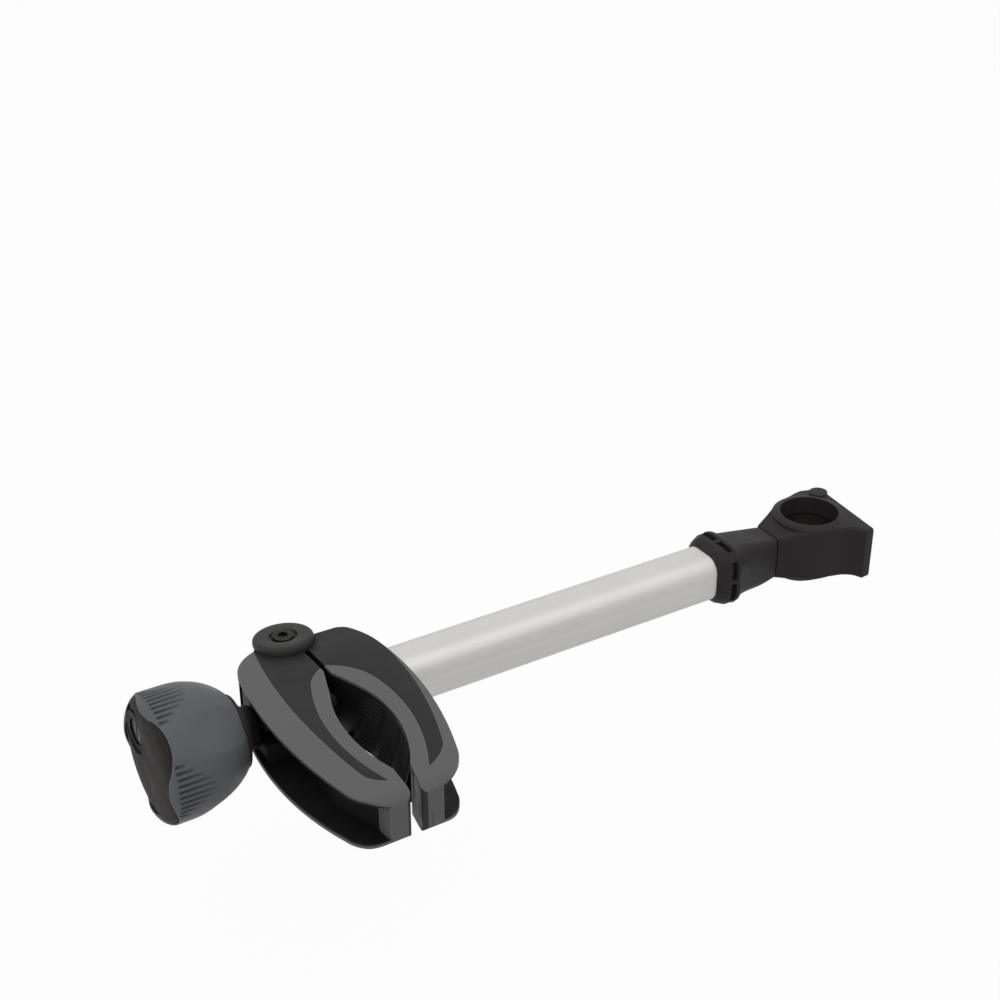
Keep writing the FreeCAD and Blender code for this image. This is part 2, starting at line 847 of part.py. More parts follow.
def outer_plan():
    """Outline of the outer jaw, seen from above."""
    slit_x, tip_x = outer_points()
    back_x = hinge_x - outer_width + 11
    ear_drop = root(ear_radius * ear_radius - (slit_x - hinge_x) * (slit_x - hinge_x))
    return [
        (slit_x - outer_knee, -leaf_knee, outer_leaf_bow, "right"),
        (slit_x, leaf_top),
        (slit_x, hinge_y - ear_drop),
        (hinge_x, hinge_y + ear_radius, ear_radius, "left"),
        (hinge_x - cap_radius - 1, hinge_y - 0.5, 14, "left"),
        (back_x, hinge_y - 23.5, 28, "left"),
        (back_x + 5, -(jaw_reach - 17), outer_back_bow, "left"),
        (tip_x - 13.5, -(jaw_reach - 1.0), 20.5, "left"),
        (tip_x - 2.5, -jaw_reach, 40, "left"),
        (tip_x, -(jaw_reach - 2.5), 3, "left"),
        (tip_x, -(jaw_reach - leaf_end - 1.5)),
    ]


def outer_panel():
    """Dark panel of the outer jaw's faces, drawn past the hinge and the slit."""
    slit_x, tip_x = outer_points()
    edge_x = hinge_x - outer_rim - 2.5
    return [
        (tip_x - 5.7, -(jaw_reach - 13), 14, "left"),
        (slit_x - outer_knee - 5.5, -(leaf_knee - 10), outer_leaf_bow + 20, "right"),
        (slit_x, leaf_top + 3.7, 26, "right"),
        (slit_x + 4, leaf_top + 3.7),
        (slit_x + 4, FAR),
        (edge_x - 2, FAR),
        (edge_x, hinge_y - 0.5),
        (edge_x - 1, -(jaw_reach - 25), 285, "left"),
    ]


def lens_around_tip(x_low, x_high):
    """Plan region that leaves a block at the jaw's tip standing."""
    return [
        (x_low, -(jaw_reach - tip_block)),
        (x_high, -(jaw_reach - tip_block)),
        (x_high, FAR * 1.5),
        (x_low, FAR * 1.5),
    ]


def outer_jaw_trim(blank):
    """Light rims of the outer jaw, a thin skin on its faces, with the wall at its tip."""
    _, tip_x = outer_points()
    room = crowned("outer_trim_room", lens_around_tip(outer_far, hinge_x + inner_width), trim_skin)
    corner = rectangle(outer_far, tip_x - tip_wall, -(jaw_reach + tip_block), -(jaw_reach - tip_block - 1))
    corner_room = crowned("outer_trim_corner", corner, trim_skin)
    panel = flat_prism("outer_trim_panel", outer_panel(), -FAR, FAR)
    return less("outer_jaw_trim", blank, [room, corner_room, panel])


def outer_jaw(blank, trim):
    """Dark body of the outer jaw: two plates, a web, a boss for the rod and the hinge ears."""
    slit_x, tip_x = outer_points()
    web_x = hinge_x - web_outer
    far_x = outer_far
    hollow = crowned("outer_hollow", [
        (far_x, -(jaw_reach + 10)),
        (tip_x - tip_wall, -(jaw_reach + 10)),
        (tip_x - tip_wall, -(jaw_reach - 17)),
        (tip_x - tip_wall - 3, -(jaw_reach - 26)),
        (web_x, -(jaw_reach - 41)),
        (web_x, -jaw_boss_half),
        (far_x, -jaw_boss_half),
    ], plate)
    back_hollow = crowned("outer_back_hollow", [
        (far_x, jaw_boss_half),
        (web_x, jaw_boss_half),
        (web_x + 3, hinge_y - 13),
        (far_x, hinge_y - 13),
    ], plate)
    face = crowned("outer_boss_face", rectangle(far_x, hinge_x - jaw_boss_face,
                                                -(jaw_boss_half + 1), jaw_boss_half + 1), plate)
    knuckle = knuckle_radius + 0.5
    ear_room = flat_prism("outer_ear_room", [
        (hinge_x, hinge_y - knuckle, knuckle, "left"),
        (hinge_x + 20, hinge_y - knuckle - 2),
        (hinge_x + 20, FAR * 1.2),
        (hinge_x, FAR * 1.2),
        (hinge_x, hinge_y + knuckle),
        (hinge_x - knuckle, hinge_y, knuckle, "left"),
    ], -(knuckle_half + face_gap), knuckle_half + face_gap)
    pad_seat = jaw_pad("outer_pad_seat", outer_seat_plan, rubber_fit)
    tools = [trim, hollow, back_hollow, face, ear_room, rod_slot(far_x, slit_x), pad_seat]
    tools += cap_seats("outer")
    return less("outer_jaw", blank, [*tools, bolt_hole("outer_bolt_hole", bolt_radius)])


def rod_slot(far_x, slit_x):
    """Slot that the rod stays in while the jaw swings to its limit."""
    tall = rod_radius + 0.6
    below = hinge_offset + rod_radius + rod_clearance + 0.2

    def lower(x):
        reach = (x - hinge_x) * sine(swing_limit) - below
        return reach / cosine(swing_limit) + hinge_y

    near_x = slit_x + 3
    return flat_prism("outer_rod_slot", [
        (far_x, lower(far_x)),
        (near_x, lower(near_x)),
        (near_x, rod_radius + 0.9),
        (far_x, rod_radius + 0.9),
    ], -tall, tall)


def bolt_hole(name, radius):
    """Hole on the hinge's axis."""
    body = new_body(name)
    prism(body, "hole", "XY", -FAR, FAR, [[(0, 0, radius)]])
    at_hinge(body)
    return body


def cap_seats(name):
    """Flat round seats for the hinge caps above and below."""
    seats = []
    for label, low, high in (("top", cap_seat, FAR), ("bottom", -FAR, -cap_seat)):
        body = new_body(f"{name}_{label}_seat")
        prism(body, "seat", "XY", low, high, [[(0, 0, cap_radius + 0.4)]])
        at_hinge(body)
        seats.append(body)
    return seats


def inner_points():
    """Corner places that the fixed jaw's outlines share."""
    slit_x = hinge_x + slit_offset + jaw_slit / 2
    tip_x = hinge_x + tip_gap / 2 + 0.2
    back_x = hinge_x + slit_offset + inner_width
    return slit_x, tip_x, back_x


def fixed_plan():
    """Outline of the fixed jaw, seen from above."""
    slit_x, tip_x, back_x = inner_points()
    return [
        (tip_x, -(jaw_reach - 2.5)),
        (tip_x + 2.5, -jaw_reach, 3, "left"),
        (tip_x + 11.3, -(jaw_reach - 1)),
        (back_x - 11, -(jaw_reach - 17), 22, "left"),
        (back_x - 1, hinge_y - 24.5, inner_back_bow, "left"),
        (back_x - 6.5, hinge_y - 7.5, 60, "left"),
        (back_x - 13.5, hinge_y - 2.2, 9, "left"),
        (slit_x, hinge_y - 1.5),
        (slit_x, -(leaf_top - 1)),
        (slit_x + inner_knee, -(leaf_knee - 1)),
        (slit_x - 0.8, -(jaw_reach - leaf_end - 1), inner_leaf_bow, "right"),
    ]


def fixed_panel():
    """Dark panel of the fixed jaw's faces, drawn past the hinge and the slit."""
    slit_x, tip_x, back_x = inner_points()
    return [
        (tip_x + 10, -(jaw_reach - 12.5), 114, "right"),
        (back_x - 15, -(jaw_reach - 23.5), 28, "left"),
        (back_x - 0.3, leaf_top + 12, 250, "left"),
        (back_x + thin_rim, leaf_top + 12.5),
        (back_x + thin_rim, FAR),
        (slit_x - 12, FAR),
        (slit_x - 12, leaf_top + 5),
        (slit_x, leaf_top + 5),
        (slit_x + 17, -(crown_middle - 10), 35, "right"),
    ]


def fixed_jaw_trim(blank):
    """Light rims of the fixed jaw, a thin skin on its faces, with the wall at its tip."""
    _, tip_x, _ = inner_points()
    room = crowned("fixed_trim_room", lens_around_tip(hinge_x - inner_width, fixed_far), trim_skin)
    corner = rectangle(tip_x + tip_wall, fixed_far, -(jaw_reach + tip_block), -(jaw_reach - tip_block - 1))
    corner_room = crowned("fixed_trim_corner", corner, trim_skin)
    panel = flat_prism("fixed_trim_panel", fixed_panel(), -FAR, FAR)
    return less("fixed_jaw_trim", blank, [room, corner_room, panel])


def fixed_jaw(form, trim):
    """Dark body of the fixed jaw, with the tube's socket and the hinge's knuckle."""
    slit_x, tip_x, back_x = inner_points()
    knuckle = flat_prism("fixed_knuckle", [
        (hinge_x, hinge_y - knuckle_radius, knuckle_radius, "left"),
        (slit_x + 3, hinge_y - knuckle_radius - 1.5),
        (slit_x + 9, hinge_y - knuckle_radius - 1.5),
        (slit_x + 9, hinge_y - 3),
        (hinge_x + 2, hinge_y + knuckle_radius - 0.3),
        (hinge_x - knuckle_radius, hinge_y, knuckle_radius, "left"),
    ], -knuckle_half, knuckle_half)
    blank = together("fixed_jaw_blank", [form, knuckle])
    web_x = hinge_x + web_inner
    hollow = crowned("fixed_hollow", [
        (fixed_far, -(jaw_reach + 10)),
        (fixed_far, -(tube_half + 4.5)),
        (web_x, -(tube_half + 4.5)),
        (web_x, -(jaw_reach - 45)),
        (tip_x + tip_wall + 1, -(jaw_reach - 16)),
        (tip_x + tip_wall, -(jaw_reach + 10)),
    ], plate)
    socket = new_body("fixed_socket")
    prism(socket, "socket", "YZ", tube_far(), tube_far() + FAR, [round_square(tube_half, tube_corner)])
    passage = new_body("fixed_passage")
    prism(passage, "passage", "YZ", hinge_x - 20, tube_far() + 1,
          [[(0, 0, rod_radius + rod_clearance)]])
    bush = bolt_hole("fixed_bush_hole", bolt_radius + running_gap + hinge_bush_wall)
    pad_seat = jaw_pad("fixed_pad_seat", fixed_seat_plan, rubber_fit)
    tools = [trim, hollow, socket, passage, pad_seat, bush, screw_at_jaw, *cap_seats("fixed")]
    return less("fixed_jaw", blank, tools)


def hinge_ring(name, outer, inner, low, high):
    """Plain ring about the hinge's axis."""
    body = new_body(name)
    prism(body, "ring", "XY", low, high, [[(0, 0, outer)], [(0, 0, inner)]])
    at_hinge(body)
    return body


def hinge_cap(name, side):
    """Round button over the hinge, with a sunk seat for the bolt's head."""
    body = new_body(name)
    low = (cap_seat + face_gap) * side
    top = (cap_seat + face_gap + cap_height) * side
    floor = (cap_seat + face_gap + cap_floor) * side
    turn = "left" if side > 0 else "right"
    profile = [
        (bolt_radius, low),
        (cap_radius, low),
        (cap_radius, top - cap_edge * side),
        (cap_radius - cap_edge, top, cap_edge, turn),
        (cap_recess, top),
        (cap_recess, floor),
        (bolt_radius, floor),
    ]
    turned(body, "cap", [profile], axis="Z_Axis")
    at_hinge(body)
    return body


def hexagon(half_flat):
    """Corners of a hexagon about the axis."""
    corner = half_flat / cosine(dim(30.0))
    return [(corner * round(math.cos(math.radians(60 * k)), 9),
             corner * round(math.sin(math.radians(60 * k)), 9)) for k in range(6)]


def hinge_bolt():
    """Hinge pin with a low round head and a hexagon socket."""
    body = new_body("hinge_bolt")
    floor = cap_seat + face_gap + cap_floor
    prism(body, "shank", "XY", -(floor + head_height), floor, [[(0, 0, bolt_radius)]])
    prism(body, "head", "XY", floor, floor + head_height, [[(0, 0, head_radius)]])
    prism(body, "hex", "XY", floor + head_height - 1.6, floor + head_height, [hexagon(hex_flat)], cut=True)
    at_hinge(body)
    return body


def hinge_nut():
    """Nut in the lower cap."""
    body = new_body("hinge_nut")
    floor = cap_seat + face_gap + cap_floor
    prism(body, "nut", "XY", -(floor + head_height), -floor,
          [hexagon(head_radius * 0.95), [(0, 0, bolt_radius)]])
    at_hinge(body)
    return body


def leaf_edge(start, end, radius, side):
    """Place along X of the leaf's edge, as a function of Y, for an arc from start to end."""
    run_x = end[0] - start[0]
    run_y = end[1] - start[1]
    length = root(run_x * run_x + run_y * run_y)
    lift = root(radius * radius - length * length / 4)
    centre_x = (start[0] + end[0]) / 2 - lift * run_y / length * side
    centre_y = (start[1] + end[1]) / 2 + lift * run_x / length * side

    def edge(y):
        rise = dim(y) - centre_y
        return centre_x + root(radius * radius - rise * rise) * side

    return edge


def leaf_strip(edge, radius, side, y_low, y_high, near, far):
    """Strip behind the leaf's edge, between two depths and two places along Y."""
    first, last = (y_low, y_high) if side > 0 else (y_high, y_low)
    return [
        (edge(first) + near * side, first, radius, "right"),
        (edge(first) + far * side, first),
        (edge(last) + far * side, last, radius, "left"),
        (edge(last) + near * side, last),
    ]


def jaw_pad(name, strip, allowance):
    """Rubber pad behind the leaf's edge, or its seat with an allowance."""
    half = crown_half - plate - rubber_edge + allowance
    return flat_prism(name, strip, -half, half)


# The knob and what it pushes. Distances are measured from the jaws' hinge towards -X.

def knob_start():
    """Place of the knob's back face."""
    return hinge_x - jaw_boss_face - face_gap - seat_thickness - thrust_thickness - face_gap


def knob_face():
    """Place of the knob's dark end face."""
    return knob_start() - back_thickness - knob_length


def rod_end():
    """Distance of the rod's end from the post's axis."""
    return -(knob_face() + front_wall + draw_travel + face_gap)


def ring_on_axis(name, outer, inner, low, high):
    """Plain ring about the rod's axis."""
    body = new_body(name)
    prism(body, "ring", "YZ", low, high, [[(0, 0, outer)], [(0, 0, inner)]])
    return body


def thrust_seat():
    """Seat between the jaw's boss and the knob, with a rounded edge towards the jaw."""
    body = new_body("thrust_seat")
    front = hinge_x - jaw_boss_face - face_gap
    back = front - seat_thickness
    inner = rod_radius + rod_clearance
    profile = [
        (front, inner),
        (front, seat_radius - 2.5),
        (front - 2.5, seat_radius, 2.5, "left"),
        (back, seat_radius),
        (back, inner),
    ]
    turned(body, "seat", [profile])
    return body


def knob_back():
    """Thin dark disc behind the knob's shell, with a hub towards the thrust washer."""
    body = new_body("knob_back")
    start = knob_start()
    seam = start - back_thickness
    bore = rod_radius + rod_clearance
    profile = [
        (seam, bore),
        (start, bore),
        (start, back_hub),
        (seam + back_flange, back_hub),
        (seam + back_flange, back_radius),
        (seam, back_radius),
    ]
    turned(body, "back", [profile])
    return body


def rim_line():
    """Where the knob's rounded front corner meets the seam between the core and the shell: the
    seam's radius, and how far it lies behind the end face."""
    inner = knob_corner - rim_wall
    radius = knob_radius - inner
    depth = knob_corner - root(inner * inner - rim_wall * rim_wall)
    return radius, depth


def knob_core():
    """Dark inner moulding of the knob, with its end face and the room for the mechanism."""
    body = new_body("knob_core")
    start = knob_start() - back_thickness
    face = knob_face()
    rim = knob_radius - rim_wall
    seam, depth = rim_line()
    disc_back = face + front_disc
    well = start - clutch_depth()
    profile = [
        (start, core_radius),
        (start, clutch_radius + 0.3),
        (well, clutch_radius + 0.3),
        (well, nut_radius),
        (nut_end(), nut_radius),
        (nut_end(), rod_radius + 1),
        (face + front_wall, rod_radius + 1),
        (face + front_wall, 0),
        (face, 0),
        (face, seam - face_chamfer),
        (face + face_chamfer, seam),
        (face + depth, seam),
        (face + knob_corner, rim, knob_corner - rim_wall, "right"),
        (disc_back, rim),
        (disc_back, core_radius),
    ]
    turned(body, "core", [profile])
    y, z = lock_place()
    prism(body, "lock_hole", "YZ", face - 1, face + lock_depth, [[(y, z, lock_radius)]], cut=True)
    return body


def lock_place():
    """Centre of the lock on the knob's end face."""
    return -(lock_offset * cosine(lock_angle)), lock_offset * sine(lock_angle)


def clutch_depth():
    """Length of the stack of discs behind the nut's flange."""
    return nut_flange_thickness + clutch_thickness + spring_thickness * 2


def nut_end():
    """Place of the nut's far end."""
    return knob_start() - back_thickness - nut_length


def knob_shell():
    """Grey gripping shell: four rounded grips with a sloping facet between each two."""
    body = new_body("knob_shell_blank")
    start = knob_start() - back_thickness
    face = knob_face()
    rim = knob_radius - rim_wall
    seam, depth = rim_line()
    nose = root(knob_corner * knob_corner - (knob_corner - rim_edge) * (knob_corner - rim_edge))
    profile = [
        (start, core_radius),
        (start, core_radius + knob_tail),
        (start - knob_rise, knob_radius, knob_bulge, "left"),
        (face + knob_corner, knob_radius),
        (face + rim_edge, knob_radius - knob_corner + nose, knob_corner, "left"),
        (face + rim_edge + 0.2, seam),
        (face + depth, seam),
        (face + knob_corner, rim, knob_corner - rim_wall, "right"),
        (face + front_disc, rim),
        (face + front_disc, core_radius),
    ]
    turned(body, "shell", [profile])
    facet = [
        (start + 1, facet_back),
        (face + facet_start, facet_front, facet_bow, "left"),
        (face - 4, facet_front),
        (face - 4, knob_radius + 6),
        (start + 1, knob_radius + 6),
    ]
    for number, outline in enumerate((facet, mirrored(facet))):
        prism(body, f"facet_z{number}", "XZ", -FAR, FAR, [outline], cut=True)
        prism(body, f"facet_y{number}", "XY", -FAR, FAR, [outline], cut=True)
    scoop = [[(face + scoop_depth - scoop_radius, 0, scoop_radius)]]
    prism(body, "scoop_z", "XY", -FAR, FAR, scoop, cut=True)
    prism(body, "scoop_y", "XZ", -FAR, FAR, scoop, cut=True)
    body.Placement = FreeCAD.Placement(V(0, 0, 0), FreeCAD.Rotation(V(1, 0, 0), 45))
    return body


def knob_nut():
    """Threaded insert with a flange that the clutch drives."""
    body = new_body("knob_nut")
    start = knob_start() - back_thickness
    bore = rod_radius + running_gap
    profile = [
        (start, bore),
        (start, nut_flange),
        (start - nut_flange_thickness, nut_flange),
        (start - nut_flange_thickness, nut_radius),
        (nut_end(), nut_radius),
        (nut_end(), bore),
    ]
    turned(body, "nut", [profile])
    return body


def lock_ring():
    """Housing of the lock."""
    y, z = lock_place()
    face = knob_face()
    body = new_body("lock_housing")
    prism(body, "ring", "YZ", face + lock_inset, face + lock_depth - 4,
          [[(y, z, lock_radius)], [(y, z, lock_radius - lock_wall)]])
    return body


def lock_plug():
    """Turning plug of the lock with its key slot."""
    y, z = lock_place()
    face = knob_face()
    body = new_body("lock_plug")
    radius = lock_radius - lock_wall - running_gap
    front = face + lock_inset + 1
    prism(body, "plug", "YZ", front, face + lock_depth - 3, [[(y, z, radius)]])
    slot = rectangle(y - key_width / 2, y + key_width / 2, z - key_height / 2, z + key_height / 2)
    prism(body, "key_slot", "YZ", front, front + 5, [slot], cut=True)
    return body


def lock_cam():
    """Latch on the plug's inner end."""
    y, z = lock_place()
    back = knob_face() + lock_depth
    body = new_body("lock_cam")
    reach = lock_radius - 1.2
    plan = [
        (y - 3, z - 4),
        (y + 3, z - 4, 5, "left"),
        (y + 3, z + reach - 1),
        (y - 3, z + reach - 1, 8, "left"),
    ]
    prism(body, "cam", "YZ", back - 3, back - 0.6, [plan])
    return body


# Every sub-part, in the order of its body.

screw_at_collar = tube_screw("tube_screw_collar", screw_radius + skirt_step - collar_reach, step_wall + 0.6)
screw_at_jaw = tube_screw("tube_screw_jaw", tube_far() + 7, 2.2)
near_rivet = rivet("near_rivet", -1)
far_rivet = rivet("far_rivet", 1)
rivets = together("band_rivets", [near_rivet, far_rivet])
screws = together("tube_screws", [screw_at_collar, screw_at_jaw])

outer_slit_x, outer_tip_x = outer_points()
outer_edge = leaf_edge((outer_tip_x, -(jaw_reach - leaf_end - 1.5)),
                       (outer_slit_x - outer_knee, -leaf_knee), outer_leaf_bow, -1)
fixed_slit_x, fixed_tip_x, fixed_back_x = inner_points()
fixed_edge = leaf_edge((fixed_slit_x - 0.8, -(jaw_reach - leaf_end - 1)),
                       (fixed_slit_x + inner_knee, -(leaf_knee - 1)), inner_leaf_bow, 1)
pad_low = -(jaw_reach - rubber_near_tip)
pad_high = -rubber_near_hinge
outer_pad_plan = leaf_strip(outer_edge, outer_leaf_bow, -1, pad_low, pad_high,
                            rubber_recess, rubber_recess + rubber)
fixed_pad_plan = leaf_strip(fixed_edge, inner_leaf_bow, 1, pad_low, pad_high,
                            rubber_recess, rubber_recess + rubber)
outer_seat_plan = leaf_strip(outer_edge, outer_leaf_bow, -1, pad_low, pad_high,
                             -rubber, rubber_recess + rubber)
fixed_seat_plan = leaf_strip(fixed_edge, inner_leaf_bow, 1, pad_low, pad_high,
                             -rubber, rubber_recess + rubber)

outer_blank = crowned("outer_blank", outer_plan())
fixed_blank = crowned("fixed_blank", fixed_plan())
outer_trim = outer_jaw_trim(outer_blank)
fixed_trim = fixed_jaw_trim(fixed_blank)
lock_y, lock_z = lock_place()
lock_hole = new_body("lock_hole")
prism(lock_hole, "hole", "YZ", knob_face(), knob_face() + lock_depth, [[(lock_y, lock_z, lock_radius)]])

nodes = [
    post_block(),
    bore_pad("bore_pad_upper", 1),
    bore_pad("bore_pad_lower", -1),
    retaining_clip(),
    swivel_washer(),
    draw_rod(),
    less("crosshead", crosshead(), [rivets]),
    less("stirrup_band", stirrup_band(), [rivets]),
    rivets,
    less("collar", collar(), [screw_at_collar]),
    swivel_bush(),
    less("frame_tube", frame_tube(), [screws]),
    rod_guide("rod_guide_near", tube_near() - guide_inset),
    rod_guide("rod_guide_far", tube_far() + guide_inset),
    screws,
    fixed_trim,
    fixed_jaw(fixed_blank, fixed_trim),
    jaw_pad("fixed_jaw_pad", fixed_pad_plan, 0),
    hinge_ring("hinge_bush", bolt_radius + running_gap + hinge_bush_wall,
               bolt_radius + running_gap, -knuckle_half, knuckle_half),
    outer_trim,
    outer_jaw(outer_blank, outer_trim),
    jaw_pad("outer_jaw_pad", outer_pad_plan, 0),
    hinge_bolt(),
    hinge_nut(),
    hinge_cap("hinge_cap", 1),
    hinge_cap("hinge_cap_lower", -1),
    thrust_seat(),
    ring_on_axis("thrust_washer", seat_radius, rod_radius + rod_clearance,
                 knob_start() + face_gap, knob_start() + face_gap + thrust_thickness),
    knob_back(),
    knob_core(),
    less("knob_shell", knob_shell(), [lock_hole]),
    knob_nut(),
    ring_on_axis("clutch_disc", clutch_radius, nut_radius + 0.2,
                 knob_start() - back_thickness - nut_flange_thickness - clutch_thickness,
                 knob_start() - back_thickness - nut_flange_thickness),
    ring_on_axis("spring_washers", clutch_radius, nut_radius + 0.2,
                 knob_start() - back_thickness - clutch_depth(),
                 knob_start() - back_thickness - nut_flange_thickness - clutch_thickness),
    lock_ring(),
    lock_plug(),
    lock_cam(),
]

doc.recompute()
for item in doc.Objects:
    if "Invalid" in item.State or "Error" in item.State:
        raise ValueError(f"{item.Name} failed: {item.State}")
os.makedirs("parts", exist_ok=True)
for node in nodes:
    if node.Shape.isNull() or not node.Shape.isValid():
        raise ValueError(f"{node.Label} has no valid shape")
    node.Shape.exportStep(f"parts/{node.Label}.step")
    print(f"{node.Label}: {len(node.Shape.Solids)} solid, {node.Shape.Volume / 1000:.2f} cm3")
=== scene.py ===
# %% [markdown]
# This script dresses one arm of a hitch bike carrier: a square aluminium tube with a clamp for
# the carrier's post at one end and a pair of moulded jaws, tightened by a big knob, at the
# other. The construction comes packed as a fixed frame of named parts. Here they get their
# finish, and the parts whose form is too soft for plain solids are built again as fine meshes.

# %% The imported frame
import json
import math

import bmesh
import bpy
import numpy as np
from mathutils import Matrix, Vector


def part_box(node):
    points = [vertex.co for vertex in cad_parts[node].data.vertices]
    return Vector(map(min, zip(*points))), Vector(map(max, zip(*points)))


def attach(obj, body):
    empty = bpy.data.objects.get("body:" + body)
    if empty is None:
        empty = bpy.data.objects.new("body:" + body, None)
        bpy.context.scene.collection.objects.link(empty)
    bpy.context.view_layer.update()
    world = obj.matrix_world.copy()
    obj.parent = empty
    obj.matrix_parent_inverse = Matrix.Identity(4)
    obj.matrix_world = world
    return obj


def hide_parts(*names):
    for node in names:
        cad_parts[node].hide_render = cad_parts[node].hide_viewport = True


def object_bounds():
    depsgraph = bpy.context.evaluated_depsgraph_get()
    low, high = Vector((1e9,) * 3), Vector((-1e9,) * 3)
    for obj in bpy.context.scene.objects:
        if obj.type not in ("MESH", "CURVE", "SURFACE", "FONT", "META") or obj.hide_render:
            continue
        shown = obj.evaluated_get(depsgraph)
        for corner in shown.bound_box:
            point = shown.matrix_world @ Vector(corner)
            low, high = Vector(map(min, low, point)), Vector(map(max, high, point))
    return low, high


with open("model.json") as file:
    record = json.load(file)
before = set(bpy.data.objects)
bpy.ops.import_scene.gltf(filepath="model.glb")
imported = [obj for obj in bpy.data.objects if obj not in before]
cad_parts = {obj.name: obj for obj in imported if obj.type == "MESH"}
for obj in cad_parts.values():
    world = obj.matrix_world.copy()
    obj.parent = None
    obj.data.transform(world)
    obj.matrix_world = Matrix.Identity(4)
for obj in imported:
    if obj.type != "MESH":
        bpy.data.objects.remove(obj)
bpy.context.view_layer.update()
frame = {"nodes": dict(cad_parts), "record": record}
MM = 0.001

# %% [markdown]
# Every place below is read from the frame, so the fine meshes stay with the solids that carry
# them. A node's box gives its lowest and highest corner in metres. The sizes are kept in
# millimetres, which are easier to read for an object of this size.

# %% Places read from the frame
def span(node, axis):
    """Lowest and highest place of a node along an axis, in millimetres."""
    low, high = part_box(node)
    return low[axis] / MM, high[axis] / MM


X, Y, Z = 0, 1, 2
knob_face = span("knob_core", X)[0]
knob_rear = span("knob_shell", X)[1]
hinge_x = sum(span("hinge_bush", X)) / 2
hinge_y = sum(span("hinge_bush", Y)) / 2
print(f"knob from {knob_rear:.1f} to {knob_face:.1f}, hinge at {hinge_x:.1f}, {hinge_y:.1f}")

# %% [markdown]
# A new surface is a grid of points: rows run one way over it and columns the other. Its faces
# join each point with the next one along both ways. Where the surface closes on itself, as a
# ring does, the last row or column is joined with the first. Everything is worked out as whole
# arrays, so a piece with tens of thousands of points is made at once.

# %% From grids of points to a mesh
def grid_faces(rows, columns, wrap_rows=False, wrap_columns=True):
    """Corner numbers of the four-sided faces of a grid. Point (r, c) has the number
    r * columns + c, and a face takes (r, c), (r, c + 1), (r + 1, c + 1) and (r + 1, c)."""
    row = np.arange(rows if wrap_rows else rows - 1)
    column = np.arange(columns if wrap_columns else columns - 1)
    r, c = np.meshgrid(row, column, indexing="ij")
    r_next, c_next = (r + 1) % rows, (c + 1) % columns
    corners = [r * columns + c, r * columns + c_next, r_next * columns + c_next, r_next * columns + c]
    return np.stack(corners, axis=-1).reshape(-1, 4)


def add_piece(name, points, faces, body, slot_name, angle=40.0):
    """Mesh object from points in millimetres, riding on a body. It is shaded smooth, except at
    edges that turn by more than the given angle."""
    mesh = bpy.data.meshes.new(name)
    mesh.from_pydata((np.asarray(points).reshape(-1, 3) * MM).tolist(), [], list(map(list, faces)))
    mesh.validate()
    mesh.update()
    piece = bpy.data.objects.new(name, mesh)
    bpy.context.scene.collection.objects.link(piece)
    finish_mesh(piece, angle)
    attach(piece, body)
    piece.data.materials.append(finishes[slot_name])
    print(name, len(mesh.vertices), "points")
    return piece


def shade_attribute(piece, name, values):
    """Number at every point of a piece, which its material reads by name."""
    layer = piece.data.attributes.new(name, "FLOAT", "POINT")
    layer.data.foreach_set("value", np.asarray(values, dtype=np.float32).ravel())


def finish_mesh(piece, angle):
    """Smooth shading with sharp edges where neighbouring faces turn by more than an angle."""
    mesh = piece.data
    mesh.polygons.foreach_set("use_smooth", np.ones(len(mesh.polygons), bool))
    mesh.set_sharp_from_angle(angle=math.radians(angle))

# %% [markdown]
# The arm is almost all moulded nylon. Such a moulding is never one flat colour: the mould's
# spark-eroded skin breaks up the highlight, the pigment is a little uneven, and handling
# polishes the edges. Each of these effects is a node group, built once and then placed in every
# material with its own values. A group gives out only a mask or a height, and the shader itself
# stays in the material.

# %% A helper for node groups
def new_group(name, inputs, outputs):
    """Empty shader node group with float inputs {name: default} and named float outputs."""
    group = bpy.data.node_groups.new(name, "ShaderNodeTree")
    for label, default in inputs.items():
        socket = group.interface.new_socket(label, in_out="INPUT", socket_type="NodeSocketFloat")
        socket.default_value = default
    for label in outputs:
        group.interface.new_socket(label, in_out="OUTPUT", socket_type="NodeSocketFloat")
    start = group.nodes.new("NodeGroupInput")
    end = group.nodes.new("NodeGroupOutput")
    return group, start, end


def add_node(tree, kind, links=(), **settings):
    """Node with its properties set, and its inputs fed from (input, source socket or value)."""
    node = tree.nodes.new(kind)
    for key, value in settings.items():
        setattr(node, key, value)
    for key, source in links:
        if isinstance(source, bpy.types.NodeSocket):
            tree.links.new(source, node.inputs[key])
        else:
            node.inputs[key].default_value = source
    return node

# %% Grain of a mould's skin
def build_grain():
    """Height of a moulded skin: fine noise, with a coarser noise that makes it patchy."""
    inputs = {"Scale": 1500.0, "Patch Scale": 90.0}
    group, start, end = new_group("moulded_grain", inputs, ["Height", "Patch"])
    place = add_node(group, "ShaderNodeTexCoord").outputs["Object"]
    fine = add_node(group, "ShaderNodeTexNoise", [("Vector", place), ("Scale", start.outputs["Scale"]),
                                                  ("Detail", 3.0), ("Roughness", 0.6)])
    patch = add_node(group, "ShaderNodeTexNoise", [("Vector", place), ("Scale", start.outputs["Patch Scale"]),
                                                   ("Detail", 2.0)])
    height = add_node(group, "ShaderNodeMath", [(0, fine.outputs["Fac"]), (1, patch.outputs["Fac"])],
                      operation="MULTIPLY")
    group.links.new(height.outputs[0], end.inputs["Height"])
    group.links.new(patch.outputs["Fac"], end.inputs["Patch"])
    return group


moulded_grain = build_grain()

